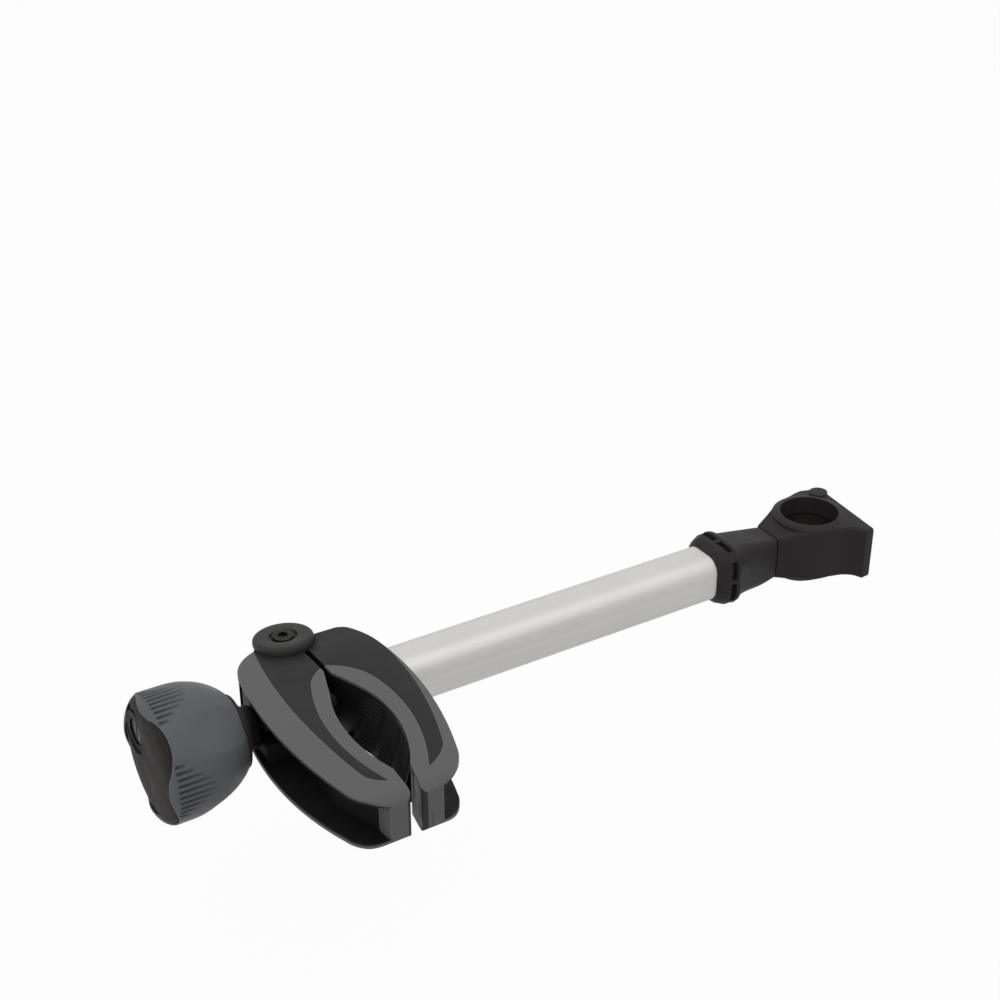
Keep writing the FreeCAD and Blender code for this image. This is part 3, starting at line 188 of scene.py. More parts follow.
# %% Rubbed edges
def build_edge_rub():
    """Mask of worn edges. The normal of a bevelled copy of the surface leans away from the real
    normal only near an edge, so one minus their dot product is the distance from flat. Noise
    breaks the line up."""
    group, start, end = new_group("rubbed_edges", {"Radius": 0.0008, "Strength": 8.0}, ["Mask"])
    place = add_node(group, "ShaderNodeTexCoord").outputs["Object"]
    bevel = add_node(group, "ShaderNodeBevel", [("Radius", start.outputs["Radius"])], samples=4)
    flat = add_node(group, "ShaderNodeNewGeometry")
    dot = add_node(group, "ShaderNodeVectorMath", [(0, bevel.outputs[0]), (1, flat.outputs["Normal"])],
                   operation="DOT_PRODUCT")
    lean = add_node(group, "ShaderNodeMath", [(0, 1.0), (1, dot.outputs["Value"])], operation="SUBTRACT")
    strong = add_node(group, "ShaderNodeMath", [(0, lean.outputs[0]), (1, start.outputs["Strength"])],
                      operation="MULTIPLY")
    noise = add_node(group, "ShaderNodeTexNoise", [("Vector", place), ("Scale", 160.0), ("Detail", 4.0)])
    broken = add_node(group, "ShaderNodeMath", [(0, strong.outputs[0]), (1, noise.outputs["Fac"])],
                      operation="MULTIPLY", use_clamp=True)
    group.links.new(broken.outputs[0], end.inputs["Mask"])
    return group


rubbed_edges = build_edge_rub()

# %% Drawn lines of an extrusion
def build_drawn_lines():
    """Fine lines along X, as a die leaves them on an extruded tube: noise whose X is squeezed so
    much that each speck becomes a line."""
    group, start, end = new_group("drawn_lines", {"Length": 3.0, "Density": 900.0}, ["Height", "Cloud"])
    place = add_node(group, "ShaderNodeTexCoord").outputs["Object"]
    length, density = start.outputs["Length"], start.outputs["Density"]
    scale = add_node(group, "ShaderNodeCombineXYZ", [(0, length), (1, density), (2, density)])
    squeezed = add_node(group, "ShaderNodeVectorMath", [(0, place), (1, scale.outputs[0])],
                        operation="MULTIPLY")
    lines = add_node(group, "ShaderNodeTexNoise", [("Vector", squeezed.outputs[0]), ("Scale", 1.0),
                                                   ("Detail", 3.0)])
    cloud = add_node(group, "ShaderNodeTexNoise", [("Vector", place), ("Scale", 22.0), ("Detail", 2.0)])
    group.links.new(lines.outputs["Fac"], end.inputs["Height"])
    group.links.new(cloud.outputs["Fac"], end.inputs["Cloud"])
    return group


drawn_lines = build_drawn_lines()

# %% [markdown]
# A finish is written as the colour that the eye sees, from 0 to 255, and turned into the light
# that a shader works with. The plastics share one recipe: a dark and a light tone mixed by the
# patchy noise, a rubbed tone on the edges, and a roughness that follows the same masks.

# %% Colours
def seen(red, green, blue):
    """Shader colour of a colour seen on a screen: each channel goes through the screen's curve."""
    channel = np.array([red, green, blue]) / 255
    linear = np.where(channel <= 0.04045, channel / 12.92, ((channel + 0.055) / 1.055) ** 2.4)
    return (*linear.tolist(), 1.0)


def new_finish(name):
    """Material with its Principled shader, and a helper that places nodes in it."""
    finish = bpy.data.materials.new(name)
    finish.use_nodes = True
    return finish, finish.node_tree, finish.node_tree.nodes["Principled BSDF"]


def blend_tones(tree, mask, low, high):
    """Colour that goes from low to high as the mask goes from 0 to 1."""
    mix = add_node(tree, "ShaderNodeMix", data_type="RGBA")
    tree.links.new(mask, mix.inputs[0])
    mix.inputs[6].default_value = low
    mix.inputs[7].default_value = high
    return mix.outputs[2]

# %% Roughness and relief from a mask
def rough_by(tree, shader, mask, rough):
    """Roughness that goes from the first to the second value as a noise goes from low to high."""
    spread = add_node(tree, "ShaderNodeMapRange", [("Value", mask), ("From Min", 0.3), ("From Max", 0.7),
                                                   ("To Min", rough[0]), ("To Max", rough[1])])
    tree.links.new(spread.outputs[0], shader.inputs["Roughness"])


def raise_by(tree, shader, height, depth, distance):
    """Relief from a height: depth is its strength from 0 to 1, and distance its size in metres."""
    bump = add_node(tree, "ShaderNodeBump", [("Height", height), ("Strength", depth), ("Distance", distance)])
    tree.links.new(bump.outputs[0], shader.inputs["Normal"])

# %% Moulded plastic and rubber
def moulded(name, dark, light, rubbed, rough=(0.42, 0.58), gloss=0.3, grain=1500.0, depth=0.25, wear=8.0):
    """Plastic whose tone, roughness and grain follow the shared groups. Where a piece has the
    recess attribute, its tone sinks towards near-black with it as painted shade in hollows."""
    finish, tree, shader = new_finish(name)
    skin = add_node(tree, "ShaderNodeGroup", node_tree=moulded_grain)
    skin.inputs["Scale"].default_value = grain
    edges = add_node(tree, "ShaderNodeGroup", node_tree=rubbed_edges)
    edges.inputs["Strength"].default_value = wear
    tone = blend_tones(tree, skin.outputs["Patch"], seen(*dark), seen(*light))
    worn = add_node(tree, "ShaderNodeMix", data_type="RGBA")
    tree.links.new(edges.outputs["Mask"], worn.inputs[0])
    tree.links.new(tone, worn.inputs[6])
    worn.inputs[7].default_value = seen(*rubbed)
    # Painted shade: the recess attribute mixes the tone towards the near-black seen(14, 14, 15).
    recess = add_node(tree, "ShaderNodeAttribute", attribute_name="recess")
    sunk = blend_tones(tree, recess.outputs["Fac"], (0, 0, 0, 1), seen(14, 14, 15))
    tree.links.new(worn.outputs[2], sunk.node.inputs[6])
    tree.links.new(sunk, shader.inputs["Base Color"])
    rough_by(tree, shader, skin.outputs["Patch"], rough)
    raise_by(tree, shader, skin.outputs["Height"], depth, 0.3 * MM)
    shader.inputs["Specular IOR Level"].default_value = gloss
    return finish


plastics = {
    "black_nylon": ((36, 33, 33), (43, 40, 40), (60, 57, 56), {"gloss": 0.12}),
    "charcoal_nylon": ((37, 37, 38), (43, 43, 44), (58, 58, 60), {"gloss": 0.12}),
    "grey_trim": ((86, 86, 88), (94, 94, 95), (112, 112, 113), {"gloss": 0.15}),
    "cap_nylon": ((46, 45, 44), (53, 52, 51), (70, 69, 68), {"gloss": 0.15}),
    "knob_grey": ((84, 85, 88), (92, 93, 96), (112, 113, 115), {"gloss": 0.15}),
    "knob_dark": ((39, 36, 35), (46, 42, 41), (60, 56, 55), {"gloss": 0.08, "rough": (0.55, 0.7)}),
    "pad_rubber": ((22, 22, 22), (32, 32, 31), (44, 44, 43),
                   {"gloss": 0.12, "rough": (0.6, 0.75), "grain": 2400.0, "wear": 3.0}),
    "bearing_nylon": ((206, 200, 186), (216, 211, 198), (224, 220, 210), {"gloss": 0.4}),
    "lock_black": ((12, 11, 12), (18, 17, 18), (40, 38, 38), {"gloss": 0.08, "rough": (0.5, 0.6)}),
}
finishes = {name: moulded(name, *tones, **more) for name, (*tones, more) in plastics.items()}

# %% Metals
def metal(name, dark, light, rough, lines, depth=0.08, wear=2.0):
    """Metal with drawn lines in its roughness and relief, and tones that drift over its length.
    The lines are given by how often their noise changes along X and across it, per metre."""
    finish, tree, shader = new_finish(name)
    drawn = add_node(tree, "ShaderNodeGroup", node_tree=drawn_lines)
    drawn.inputs["Length"].default_value = lines[0]
    drawn.inputs["Density"].default_value = lines[1]
    edges = add_node(tree, "ShaderNodeGroup", node_tree=rubbed_edges)
    edges.inputs["Strength"].default_value = wear
    tone = blend_tones(tree, drawn.outputs["Cloud"], seen(*dark), seen(*light))
    worn = add_node(tree, "ShaderNodeMix", data_type="RGBA")
    tree.links.new(edges.outputs["Mask"], worn.inputs[0])
    tree.links.new(tone, worn.inputs[6])
    worn.inputs[7].default_value = seen(*light)
    tree.links.new(worn.outputs[2], shader.inputs["Base Color"])
    rough_by(tree, shader, drawn.outputs["Height"], rough)
    raise_by(tree, shader, drawn.outputs["Height"], depth, 0.1 * MM)
    shader.inputs["Metallic"].default_value = 1.0
    return finish


TUBE_LINES, TURNED_LINES = (3.0, 900.0), (300.0, 300.0)
metals = {
    "satin_aluminium": ((194, 193, 190), (204, 203, 200), (0.50, 0.60), TUBE_LINES),
    "zinc_steel": ((150, 149, 146), (178, 176, 172), (0.28, 0.42), TURNED_LINES),
    "spring_steel": ((88, 88, 92), (116, 116, 120), (0.3, 0.42), (200.0, 200.0)),
    "band_steel": ((44, 40, 39), (62, 57, 55), (0.45, 0.6), (400.0, 400.0)),
    "black_steel": ((44, 42, 41), (58, 56, 54), (0.45, 0.6), (400.0, 400.0)),
    "brass": ((176, 148, 92), (204, 178, 122), (0.3, 0.42), TURNED_LINES),
    "lock_metal": ((52, 50, 50), (70, 68, 68), (0.35, 0.5), TURNED_LINES),
}
finishes |= {name: metal(name, *values) for name, values in metals.items()}
print(len(finishes), "finishes")

# %% [markdown]
# The record of the frame says which finish each node takes. A node keeps its own mesh, and only
# its material slot is filled here. The seat and the washer behind the knob are shown black,
# because they lie in deep shade.

# %% Finishes on the frame's nodes
slot_of = {part["node"]: part["material_slot"] for part in frame["record"]["subparts"]}
darkened = {"thrust_seat": "lock_black", "thrust_washer": "lock_black"}
for name, node in frame["nodes"].items():
    node.data.materials.clear()
    node.data.materials.append(finishes[darkened.get(name, slot_of[name])])
print("dressed", len(frame["nodes"]), "nodes")

# %% [markdown]
# Three small formulas shape most of the pieces below. A smooth step fades one form into another
# without a kink, a rounded minimum joins two forms where they cross, and an arc's fall turns a
# flat form into a round one.

# %% Smooth steps and arcs
def ease(low, high, value):
    """Goes smoothly from 0 at low to 1 at high: 3t^2 - 2t^3 of the share t of the way."""
    share = np.clip((value - low) / (high - low), 0, 1)
    return share * share * (3 - 2 * share)


def lower_of(first, second, blend):
    """The lower of two heights, with the crease where they cross rounded off."""
    share = np.clip(0.5 + (second - first) / (2 * blend), 0, 1)
    return second + (first - second) * share - blend * share * (1 - share)


def falling_arc(bow, run):
    """How far a circle of radius bow has fallen from its tangent after a run along it."""
    return bow - np.sqrt(bow ** 2 - np.clip(run, 0, bow) ** 2)

# %% [markdown]
# Moulded and sawn edges are never knife sharp: each carries a small radius that catches a thin
# line of light, and without it a part looks cut from card. The solids keep their sharp edges,
# so these nodes are shown by copies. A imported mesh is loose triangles, so its double points are
# merged and its flat faces joined before a bevel runs along the edges. The copies also take what
# a bevel can't give: the jaws' tips curve towards each other, the neck's underside swells at its
# seam, and the faces inside the mouth and the hollows are darker, because little light gets in.

# %% Reshaping before the edges are rounded
jaw_tip = span("outer_jaw_trim", Y)[0]
collar_seam = span("collar", X)[1]
TIP_BOW, TIP_RUN, TIP_ROWS = 8.0, 6.5, 8
NECK_SHARE, NECK_NEAR, NECK_FAR = 0.17, 8, 27


def bow_tip(points):
    """Bend the jaws' faces towards each other over the last millimetres before the tip."""
    fall = falling_arc(TIP_BOW, jaw_tip + TIP_RUN - points[:, 1])
    points[:, 2] -= np.sign(points[:, 2]) * fall * ease(8, 13, np.abs(points[:, 2]))


def deepen_neck(points):
    """Carry the underside of the neck lower, most at the seam of the swivel."""
    away = np.abs(points[:, 0] - collar_seam)
    share = NECK_SHARE * (1 - ease(NECK_NEAR, NECK_FAR, away)) * (points[:, 2] < 0)
    points[:, 2] *= 1 + share

# %% Faces that get painted shade
# Strength of the painted shade on faces that little light reaches.
PAINTED_SHADE = 0.75


def inside_jaw(centres, normals):
    """Painted shade on all of a jaw's faces but its crowned top and underside, which face
    away from its middle.
    """
    outward = normals[:, 2] * np.sign(centres[:, 2])
    return PAINTED_SHADE * (outward < 0.7)


def facing_mouth(side):
    """Painted shade for the tall faces of a rim that look across the mouth at the other jaw."""
    def painted_shade_of(centres, normals):
        """Painted shade on the faces that look across the mouth, with their centre near mid
        height.
        """
        return PAINTED_SHADE * ((normals[:, 0] * side > 0.2) & (np.abs(centres[:, 2]) < 12))
    return painted_shade_of


def nowhere(centres, normals):
    """No face at all."""
    return np.zeros(len(centres))

# %% Softened copies of the moulded nodes
def merged_copy(node, name, cut_rows):
    """Copy of a node's loose triangles as one skin: double points merged, flat faces joined, and
    each face cut along rows behind the jaws' tips where the copy is bent there."""
    mesh = frame["nodes"][node].data.copy()
    mesh.name = name
    form = bmesh.new()
    form.from_mesh(mesh)
    bmesh.ops.remove_doubles(form, verts=form.verts, dist=1e-6)
    bmesh.ops.dissolve_limit(form, angle_limit=math.radians(0.4), verts=form.verts, edges=form.edges)
    for row in cut_rows:
        bmesh.ops.bisect_plane(form, geom=[*form.verts, *form.edges, *form.faces], dist=1e-7,
                               plane_co=(0, (jaw_tip + row) * MM, 0), plane_no=(0, 1, 0))
    form.to_mesh(mesh)
    form.free()
    return mesh


def softened(node, body, width, reshape, painted_shade_of):
    """Copy of a node, reshaped, with its sharp edges rounded to a width in mm. The faces that the
    given picker chooses by centre and normal get painted shade through the recess attribute."""
    cut_rows = np.linspace(0.4, TIP_RUN, TIP_ROWS) if reshape is bow_tip else []
    mesh = merged_copy(node, f"{node}_soft", cut_rows)
    points = np.empty(len(mesh.vertices) * 3)
    mesh.vertices.foreach_get("co", points)
    points = points.reshape(-1, 3) / MM
    reshape(points)
    mesh.vertices.foreach_set("co", (points * MM).ravel())
    mesh.update()
    centres, normals = (np.empty((len(mesh.polygons), 3)) for _ in range(2))
    mesh.polygons.foreach_get("center", centres.ravel())
    mesh.polygons.foreach_get("normal", normals.ravel())
    # Painted shade: the picked faces carry it to the material as the recess attribute.
    layer = mesh.attributes.new("recess", "FLOAT", "FACE")
    layer.data.foreach_set("value", painted_shade_of(centres / MM, normals).astype(np.float32))
    piece = bpy.data.objects.new(mesh.name, mesh)
    bpy.context.scene.collection.objects.link(piece)
    bevel = piece.modifiers.new("edges", "BEVEL")
    bevel.width = width * MM
    bevel.segments = 3
    bevel.limit_method = "ANGLE"
    bevel.angle_limit = math.radians(38)
    bevel.use_clamp_overlap = True
    finish_mesh(piece, 50)
    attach(piece, body)
    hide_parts(node)
    print(mesh.name, len(mesh.vertices), "points before its edges are rounded")


softened("outer_jaw", "swing_jaw", 0.7, bow_tip, inside_jaw)
softened("outer_jaw_trim", "swing_jaw", 0.7, bow_tip, facing_mouth(1))
softened("fixed_jaw", "arm", 0.7, bow_tip, inside_jaw)
softened("fixed_jaw_trim", "arm", 0.7, bow_tip, facing_mouth(-1))
softened("collar", "arm", 0.4, deepen_neck, nowhere)
softened("post_block", "post_clamp", 0.6, deepen_neck, nowhere)

# %% [markdown]
# The knob is the most sculpted piece. Its grey shell is a drum that tapers to the rear along one
# arc, with four soft grips, above, below and at the sides, and a long facet between each two.
# Its front edge waves: it stands forward at the grips and back at the facets, where the dark
# core shows. Fine grooves run along each grip, longest at its middle.
#
# Modelling this from blocks would need many cuts. As a surface it is one formula: the radius is
# a function of the distance behind the front face and of the angle round the axis.

# %% Sizes of the knob's shell
knob = {
    "radius": 34.2, "corner": 6.0, "taper_start": 19.5, "taper_bow": 34.5,
    "facet": 34.0, "facet_start": 11.5, "facet_bow": 51.0, "facet_blend": 0.35,
    "edge": 0.3, "wave": 2.5, "wall": 1.4, "gap": 0.2, "disc": 8.8, "inner_radius": 18.7,
    "rear_edge": 1.2,
    "groove_pitch": 5.6, "groove_depth": 1.0, "groove_span": 27.0, "groove_start": 3.8,
    "groove_rise": 1.4, "groove_short": 5.0, "groove_long": 20.0,
    "lip": 0.3, "painted_groove_shade": 0.85,
}
knob_depth = knob_rear - knob_face
ANGLES, ROWS, LIP_ROWS, BACK_ROWS = 720, 112, 7, 6


# %% The knob's shell as one formula
def from_grip(angle):
    """Angle in degrees from the middle of the nearest grip, from -45 to 45."""
    return (angle + 45) % 90 - 45


def edge_depth(angle):
    """Distance of the waving front edge behind the front face."""
    return knob["edge"] + knob["wave"] * (1 - np.cos(np.radians(4 * angle)))


def shell_radius(depth, angle):
    """Radius of the shell without its grooves, from three arcs: the rounded front corner, the
    taper to the rear, and the facets, which limit the radius to a plane."""
    drum = knob["radius"] - falling_arc(knob["corner"], knob["corner"] - depth)
    drum = drum - falling_arc(knob["taper_bow"], depth - knob["taper_start"])
    plane = knob["facet"] - falling_arc(knob["facet_bow"], depth - knob["facet_start"])
    facet = plane / np.cos(np.radians(45 - np.abs(from_grip(angle))))
    radius = lower_of(drum, facet, knob["facet_blend"])
    return radius - falling_arc(knob["rear_edge"], depth - knob_depth + knob["rear_edge"])


def inner_radius(depth):
    """Radius of the shell's inside in front of the disc, a wall's thickness below the drum."""
    inner = knob["corner"] - knob["wall"]
    seam = knob["radius"] - inner
    drum = knob["radius"] - knob["wall"] - falling_arc(inner, knob["corner"] - depth)
    return np.maximum(drum, seam) + knob["gap"]


def groove(depth, angle):
    """Share of the full groove, from 0 to 1: a narrow comb over the angle, times a window along
    the axis. The window opens near the front, fades to the rear and is longest at the middle of
    a grip. The powers narrow the comb, fill out the long grooves and hold the fade back."""
    turn = from_grip(angle)
    comb = (0.5 - 0.5 * np.cos(np.radians(turn / knob["groove_pitch"] * 360))) ** 2.2
    middle = (np.floor(turn / knob["groove_pitch"]) + 0.5) * knob["groove_pitch"]
    share = np.cos(np.radians(np.clip(middle / knob["groove_span"], -1, 1) * 90)) ** 1.3
    end = knob["groove_start"] + knob["groove_short"] + (knob["groove_long"] - knob["groove_short"]) * share
    fade = np.clip((end - depth) / (end - knob["groove_start"]), 0, 1) ** 0.6
    window = ease(knob["groove_start"], knob["groove_start"] + knob["groove_rise"], depth) * fade
    return comb * window * (np.abs(middle) < knob["groove_span"])


def knob_shell_points():
    """Grid of the shell, and the share of the groove at each point. Each column is one angle,
    and its rows go from the rear over the outside, round the front edge and back inside."""
    angle = np.arange(ANGLES) * 360 / ANGLES
    front = edge_depth(angle) + knob["lip"]
    depth = knob_depth + (front - knob_depth) * np.linspace(0, 1, ROWS)[:, None]
    cut = groove(depth, angle[None, :])
    radius = shell_radius(depth, angle[None, :]) - knob["groove_depth"] * cut
    half = (radius[-1] - inner_radius(front)) / 2
    turn = np.radians(np.linspace(0, 180, LIP_ROWS))[1:, None]
    lip_radius = radius[-1] - half + half * np.cos(turn)
    lip_depth = front - knob["lip"] * np.sin(turn)
    back_depth = front + (knob["disc"] - front) * np.linspace(0, 1, BACK_ROWS)[1:, None]
    full = np.ones((1, ANGLES))
    rear_depths = [full * knob["disc"], full * (knob_depth - knob["lip"])]
    depths = np.vstack([depth, lip_depth, back_depth, *rear_depths])
    rear_radii = [full * knob["inner_radius"]] * 2
    radii = np.vstack([radius, lip_radius, inner_radius(back_depth), *rear_radii])
    cuts = np.vstack([cut, np.zeros((len(depths) - ROWS, ANGLES))])
    around = np.radians(angle)[None, :]
    points = [knob_face + depths, radii * np.cos(around), radii * np.sin(around)]
    return np.stack(points, axis=-1), cuts


shell, shell_cuts = knob_shell_points()
shell_faces = grid_faces(shell.shape[0], ANGLES, wrap_rows=True)[:, ::-1]
knob_shell = add_piece("knob_grips", shell, shell_faces, "knob", "knob_grey", angle=60)
# Painted shade in the grooves: each groove's share darkens the grey through the recess attribute.
shade_attribute(knob_shell, "recess", shell_cuts ** 0.6 * knob["painted_groove_shade"])
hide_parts("knob_shell")

# %% [markdown]
# Inside the shell sits the dark core, whose front is the face with the lock. It bulges slightly
# and falls away to the shell's waving edge, so it is turned from a half section, as on a lathe.
# The lock lies in a round pocket off the axis, which no turned form can have, so that is cut
# out afterwards with a cylinder.

# %% The knob's dark core
core = {
    "dome": 5.6, "power": 3.4, "radius": 32.8, "disc": 9.0, "barrel": 18.55,
    "well": 16.8, "well_depth": 7.5, "nut": 9.0, "nut_length": 12.0,
    "start": 0.004, "bore": 5.0, "front_wall": 2.5, "centre": 0.13,
    "pocket_depth": 3.4, "pocket_margin": 1.8, "pocket_rise": 1.6,
}
CORE_ANGLES, DOME_ROWS = 240, 60


def core_profile():
    """Half section of the core as distances behind the face and radii: a superellipse dome, the
    rim, the barrel, and the stepped room for the nut and its discs."""
    share = np.linspace(core["start"], 1, DOME_ROWS)
    dome = core["dome"] * (1 - (1 - share ** core["power"]) ** (1 / core["power"]))
    well_end = knob_depth - core["well_depth"]
    nut_end = knob_depth - core["nut_length"]
    steps = [(core["disc"], core["radius"]), (core["disc"], core["barrel"]),
             (knob_depth, core["barrel"]), (knob_depth, core["well"]),
             (well_end, core["well"]), (well_end, core["nut"]),
             (nut_end, core["nut"]), (nut_end, core["bore"]),
             (core["front_wall"], core["bore"]), (core["front_wall"], core["centre"])]
    return np.vstack([np.column_stack([dome, share * core["radius"]]), steps])


def pocket(piece, centre, radius, depth):
    """Cut a round pocket into the front of a piece, which faces -X."""
    bpy.ops.mesh.primitive_cylinder_add(vertices=96, radius=radius * MM, depth=2 * depth * MM)
    cutter = bpy.context.active_object
    cutter.data.transform(Matrix.Rotation(math.radians(90), 4, "Y"))
    cutter.data.transform(Matrix.Translation(Vector(centre) * MM))
    cut = piece.modifiers.new("pocket", "BOOLEAN")
    cut.object = cutter
    cut.operation = "DIFFERENCE"
    cut.solver = "EXACT"
    shaped = bpy.data.meshes.new_from_object(piece.evaluated_get(bpy.context.evaluated_depsgraph_get()))
    piece.modifiers.clear()
    piece.data = shaped
    bpy.data.objects.remove(cutter)


def knob_core():
    """Turned core with the lock's pocket in its domed face. Both ends of the half section stop
    just short of the axis, and a small flat face closes each."""
    profile = core_profile()
    depth, radius = profile[:, :1], profile[:, 1:]
    around = np.arange(CORE_ANGLES)[None, :] * 2 * np.pi / CORE_ANGLES
    x = np.broadcast_to(knob_face + depth, (len(profile), CORE_ANGLES))
    points = np.stack([x, radius * np.cos(around), radius * np.sin(around)], axis=-1)
    first = np.arange(CORE_ANGLES)
    last = first + (len(profile) - 1) * CORE_ANGLES
    faces = [*grid_faces(len(profile), CORE_ANGLES).tolist(), first[::-1].tolist(), last.tolist()]
    piece = add_piece("knob_core_dome", points, faces, "knob", "knob_dark", angle=40)
    low_y, high_y = span("lock_housing", Y)
    low_z, high_z = span("lock_housing", Z)
    centre = (knob_face, (low_y + high_y) / 2, (low_z + high_z) / 2 + core["pocket_rise"])
    pocket(piece, centre, (high_y - low_y) / 2 + core["pocket_margin"], core["pocket_depth"])
    finish_mesh(piece, 40)
    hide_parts("knob_core")


knob_core()

# %% [markdown]
# The round button over the hinge sits flat on the jaws, and its top leans a little towards the
# hinge's side. Its outline is turned about the hinge's axis, and then each point is lowered in
# proportion to its height above the seat, so the seat stays flat while the top tilts.

# %% Button over the hinge
button = {"edge": 2.6, "recess": 7.6, "floor": 2.4, "bore": 4.05, "drop": 1.6, "lean": 8.0, "angles": 180}


def hinge_button():
    """Turned button with a rounded edge and a sunk seat for the bolt's head. Its half section
    starts at the bore, goes out along the seat, up round the edge and back into the recess."""
    low, high = span("hinge_cap", Z)
    high -= button["drop"]
    outer = (span("hinge_cap", X)[1] - span("hinge_cap", X)[0]) / 2
    edge, recess, bore = button["edge"], button["recess"], button["bore"]
    floor = low + button["floor"]
    turn = np.radians(np.linspace(0, 90, 13))
    seat = [(bore, low), (outer - 0.3, low), (outer, low + 0.3)]
    rounding = np.column_stack([outer - edge + edge * np.cos(turn), high - edge + edge * np.sin(turn)])
    sunk = [(recess + 0.8, high), (recess + 0.25, high - 0.2), (recess, high - 0.7),
            (recess - 0.1, floor + 0.3), (recess - 0.4, floor), (bore, floor)]
    section = np.vstack([seat, rounding, sunk])
    radius, height = section[:, :1], section[:, 1:]
    around = np.arange(button["angles"])[None, :] * 2 * np.pi / button["angles"]
    lean = math.tan(math.radians(button["lean"])) * (height - low) / (high - low)
    x, y = radius * np.cos(around), radius * np.sin(around)
    points = np.stack([hinge_x + x, hinge_y + y, height - lean * y], axis=-1)
    faces = grid_faces(len(section), button["angles"], wrap_rows=True)[:, ::-1]
    piece = add_piece("hinge_button", points, faces, "swing_jaw", "cap_nylon", angle=35)
    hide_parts("hinge_cap")


hinge_button()

# %% [markdown]
# The jaws grip a bicycle's frame through two rubber pads. Each pad follows the leaf-shaped
# opening and carries fine ridges in three patches. Ridges that were only a bump in the shading
# would leave the meshes smooth, so they are real: the front of the pad is a height field over the
# arc. The fixed jaw's pad reaches below its groove and swells there into the opening, which
# closes the view through the leaf, as the photograph has it.

# %% Arc of a jaw's opening
def opening_arc(start, end, radius, side):
    """Centre of the arc that an opening follows between two corners, from its radius: the centre
    lies on the chord's middle line, at the distance that Pythagoras gives."""
    start, end = np.array(start), np.array(end)
    run = end - start
    length = np.hypot(*run)
    lift = math.sqrt(radius ** 2 - length ** 2 / 4)
    return (start + end) / 2 + np.array([-run[1], run[0]]) / length * lift * side


OUTER_BOW, FIXED_BOW = 86.5, 80.7
slit_near, slit_far = hinge_x + 4.3, hinge_x + 7.3
outer_centre = opening_arc((hinge_x - 2.8, jaw_tip + 19.0), (slit_near - 6.8, -19.0), OUTER_BOW, -1)
fixed_centre = opening_arc((slit_far - 0.8, jaw_tip + 18.5), (slit_far + 6.2, -18.0), FIXED_BOW, 1)
print("arc centres", outer_centre.round(1), fixed_centre.round(1))

# %% Ribbed pads
PATCHES = [(0.06, 0.36), (0.40, 0.66), (0.70, 0.94)]
pad = {"along": 161, "up": 121, "pitch": 2.3, "ridge": 0.75, "frame": 0.25, "margin": 1.6, "back": 4.0}


def ridges(share, z, bottom, top):
    """How far each point of a pad's front lies behind the arc. The ridges are rounded waves over
    the height Z, within patches along the pad whose edges are smooth steps."""
    wave = (0.5 + 0.5 * np.cos(2 * np.pi * z / pad["pitch"])) ** 0.8
    mask = sum(ease(start, start + 0.02, share) * ease(end, end - 0.02, share) for start, end in PATCHES)
    mask = mask * ease(bottom, bottom + pad["margin"], z) * ease(top, top - pad["margin"], z)
    return 1.0 - pad["ridge"] * wave * mask + pad["frame"] * (1 - mask)


def ribbed_pad(name, node, body, centre, bow, side, lip=0.0, swell=0.0):
    """Closed pad between two depths behind an arc. It may reach lower by a lip, which also runs
    on towards the hinge, and swell into the opening towards its lower edge. The back of the lip
    stays close behind the arc, because no groove is there to take it."""
    low, high = span(node, Y)
    groove_end, top = span(node, Z)
    bottom = groove_end - lip
    along, up = np.linspace(0, 1, pad["along"]), np.linspace(bottom, top, pad["up"])
    share, z = np.meshgrid(along, up, indexing="ij")
    front = ridges(share, z, bottom, top) - swell * ease(top, bottom + 3, z)
    near_bottom = 1 - ease(bottom + 1, bottom + 5, z)
    y = low + (high - low) * share + 1.8 * lip * ease(0.5, 1, share) * near_bottom
    arc = centre[0] + side * np.sqrt(bow ** 2 - (y - centre[1]) ** 2)
    in_lip = (1 - ease(groove_end - 0.6, groove_end, z)) * (lip > 0)
    back = pad["back"] * (1 - 0.9 * in_lip)
    front_points = np.stack([arc + side * front, y, z], axis=-1)
    back_points = np.stack([arc + side * back, y, z], axis=-1)
    loop = np.concatenate([front_points, back_points[:, ::-1]], axis=1)
    rows, columns = loop.shape[:2]
    first = np.arange(columns)
    last = first + (rows - 1) * columns
    faces = [*grid_faces(rows, columns).tolist(), first.tolist(), last[::-1].tolist()]
    if side > 0:
        faces = [face[::-1] for face in faces]
    piece = add_piece(name, loop, faces, body, "pad_rubber", angle=50)
    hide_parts(node)


ribbed_pad("fixed_pad_ribs", "fixed_jaw_pad", "arm", fixed_centre, FIXED_BOW, 1, lip=4.9, swell=5.4)
ribbed_pad("outer_pad_ribs", "outer_jaw_pad", "swing_jaw", outer_centre, OUTER_BOW, -1)

# %% [markdown]
# The photograph was taken from above the jaws, with the tube running away to the right. The
# camera's place and lens were worked out from the perspective of the tube and the round bore,
# so that each corner of the object falls where the photograph has it.

# %% The camera
CAMERA_PLACE = (-0.6268, -0.6635, 0.5168)
CAMERA_HEADING, CAMERA_DROP = 31.6, 28.8
camera_data = bpy.data.cameras.new("camera")
camera_data.lens = 61.2
camera_data.sensor_width = 36.0
camera = bpy.data.objects.new("camera", camera_data)
heading, drop = math.radians(CAMERA_HEADING), math.radians(CAMERA_DROP)
forward = Vector((math.sin(heading) * math.cos(drop), math.cos(heading) * math.cos(drop), -math.sin(drop)))
camera.location = CAMERA_PLACE
camera.rotation_euler = forward.to_track_quat("-Z", "Y").to_euler()
bpy.context.scene.collection.objects.link(camera)
bpy.context.scene.camera = camera

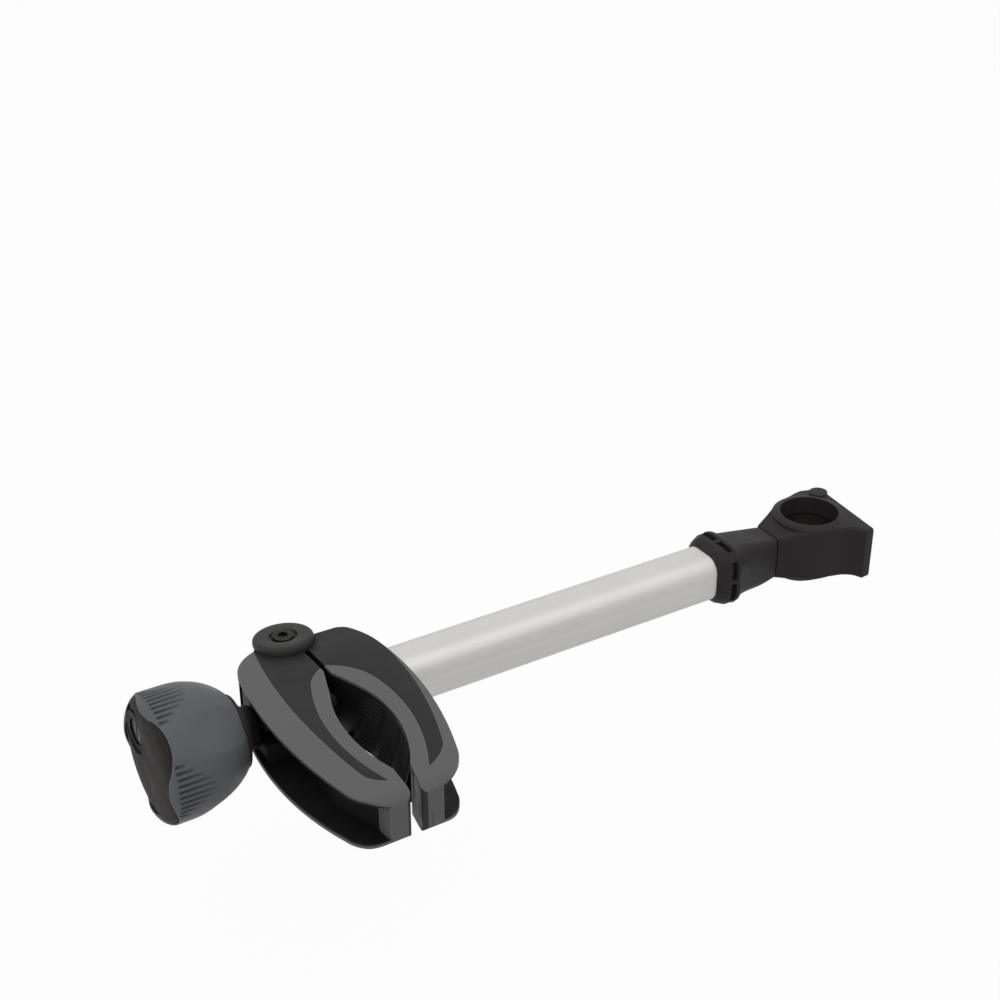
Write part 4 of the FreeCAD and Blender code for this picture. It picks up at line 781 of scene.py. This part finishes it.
# %% [markdown]
# The light is a plain white studio: an even surrounding light, a broad soft lamp above, a
# smaller one to the right that draws the bright line along the tube's near corner, and one on
# the left that lights the knob's side. The floor is white and keeps a faint shadow. It lies low
# enough for the jaws to hang down when the arm is turned on its post block.
#
# White surroundings are seen through the kind of ray: the camera and clear reflections find a
# glowing white, while the light on the object stays at the level of the lamps.

# %% Floor
CAMERA_SHARE = 0.96
FLOOR_HALF = 12.0


def strongest(tree, *levels):
    """The highest of two or more levels."""
    highest = levels[0]
    for level in levels[1:]:
        node = add_node(tree, "ShaderNodeMath", [(0, highest), (1, level)], operation="MAXIMUM")
        highest = node.outputs[0]
    return highest


def add_floor():
    """Large square just below the lowest place of the jaws' tips: turned down, they reach as far
    below the tube as they reach out beside it at rest."""
    low_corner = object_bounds()[0]
    low = min(low_corner[Y], low_corner[Z]) - MM
    half = FLOOR_HALF
    corners = [(-half, -half, low), (half, -half, low), (half, half, low), (-half, half, low)]
    mesh = bpy.data.meshes.new("floor")
    mesh.from_pydata(corners, [], [(0, 1, 2, 3)])
    floor = bpy.data.objects.new("floor", mesh)
    bpy.context.scene.collection.objects.link(floor)
    finish, tree, shader = new_finish("floor")
    shader.inputs["Base Color"].default_value = (0.62, 0.62, 0.62, 1)
    shader.inputs["Roughness"].default_value = 0.9
    shader.inputs["Specular IOR Level"].default_value = 0.0
    glow = add_node(tree, "ShaderNodeEmission", [("Color", (1, 1, 1, 1)), ("Strength", 1.0)])
    ray = add_node(tree, "ShaderNodeLightPath").outputs
    camera_share = add_node(tree, "ShaderNodeMath", [(0, ray["Is Camera Ray"]), (1, CAMERA_SHARE)],
                            operation="MULTIPLY").outputs[0]
    share = strongest(tree, camera_share, ray["Is Glossy Ray"])
    mix = add_node(tree, "ShaderNodeMixShader", [(0, share), (1, shader.outputs[0]), (2, glow.outputs[0])])
    tree.links.new(mix.outputs[0], tree.nodes["Material Output"].inputs["Surface"])
    mesh.materials.append(finish)


add_floor()

# %% Surrounding light and lamps
def add_world():
    """Even white light, which the camera and clear reflections see as plain white."""
    world = bpy.data.worlds.new("studio")
    world.use_nodes = True
    tree = world.node_tree
    back = tree.nodes["Background"]
    ray = add_node(tree, "ShaderNodeLightPath").outputs
    seen_ray = strongest(tree, ray["Is Camera Ray"], ray["Is Glossy Ray"], ray["Is Transmission Ray"])
    level = add_node(tree, "ShaderNodeMapRange", [("Value", seen_ray), ("To Min", 0.7), ("To Max", 1.0)])
    tree.links.new(level.outputs[0], back.inputs["Strength"])
    back.inputs["Color"].default_value = (1, 1, 1, 1)
    bpy.context.scene.world = world


def add_lamp(name, direction, distance, size, power):
    """Square soft lamp that looks at the middle of the arm from a direction."""
    target = Vector((-0.22, 0.0, 0.0))
    lamp_data = bpy.data.lights.new(name, "AREA")
    lamp_data.size = size
    lamp_data.energy = power
    lamp = bpy.data.objects.new(name, lamp_data)
    away = Vector(direction).normalized()
    lamp.location = target + away * distance
    lamp.rotation_euler = (-away).to_track_quat("-Z", "Y").to_euler()
    bpy.context.scene.collection.objects.link(lamp)


add_world()
add_lamp("top", (0.0, 0.05, 1.0), distance=1.8, size=2.2, power=8.0)
add_lamp("key", (0.46, -0.48, 0.745), distance=1.6, size=1.5, power=2.5)
add_lamp("left", (-0.8, -0.2, 0.6), distance=1.8, size=1.2, power=4.5)
bpy.context.scene.view_settings.view_transform = "Standard"
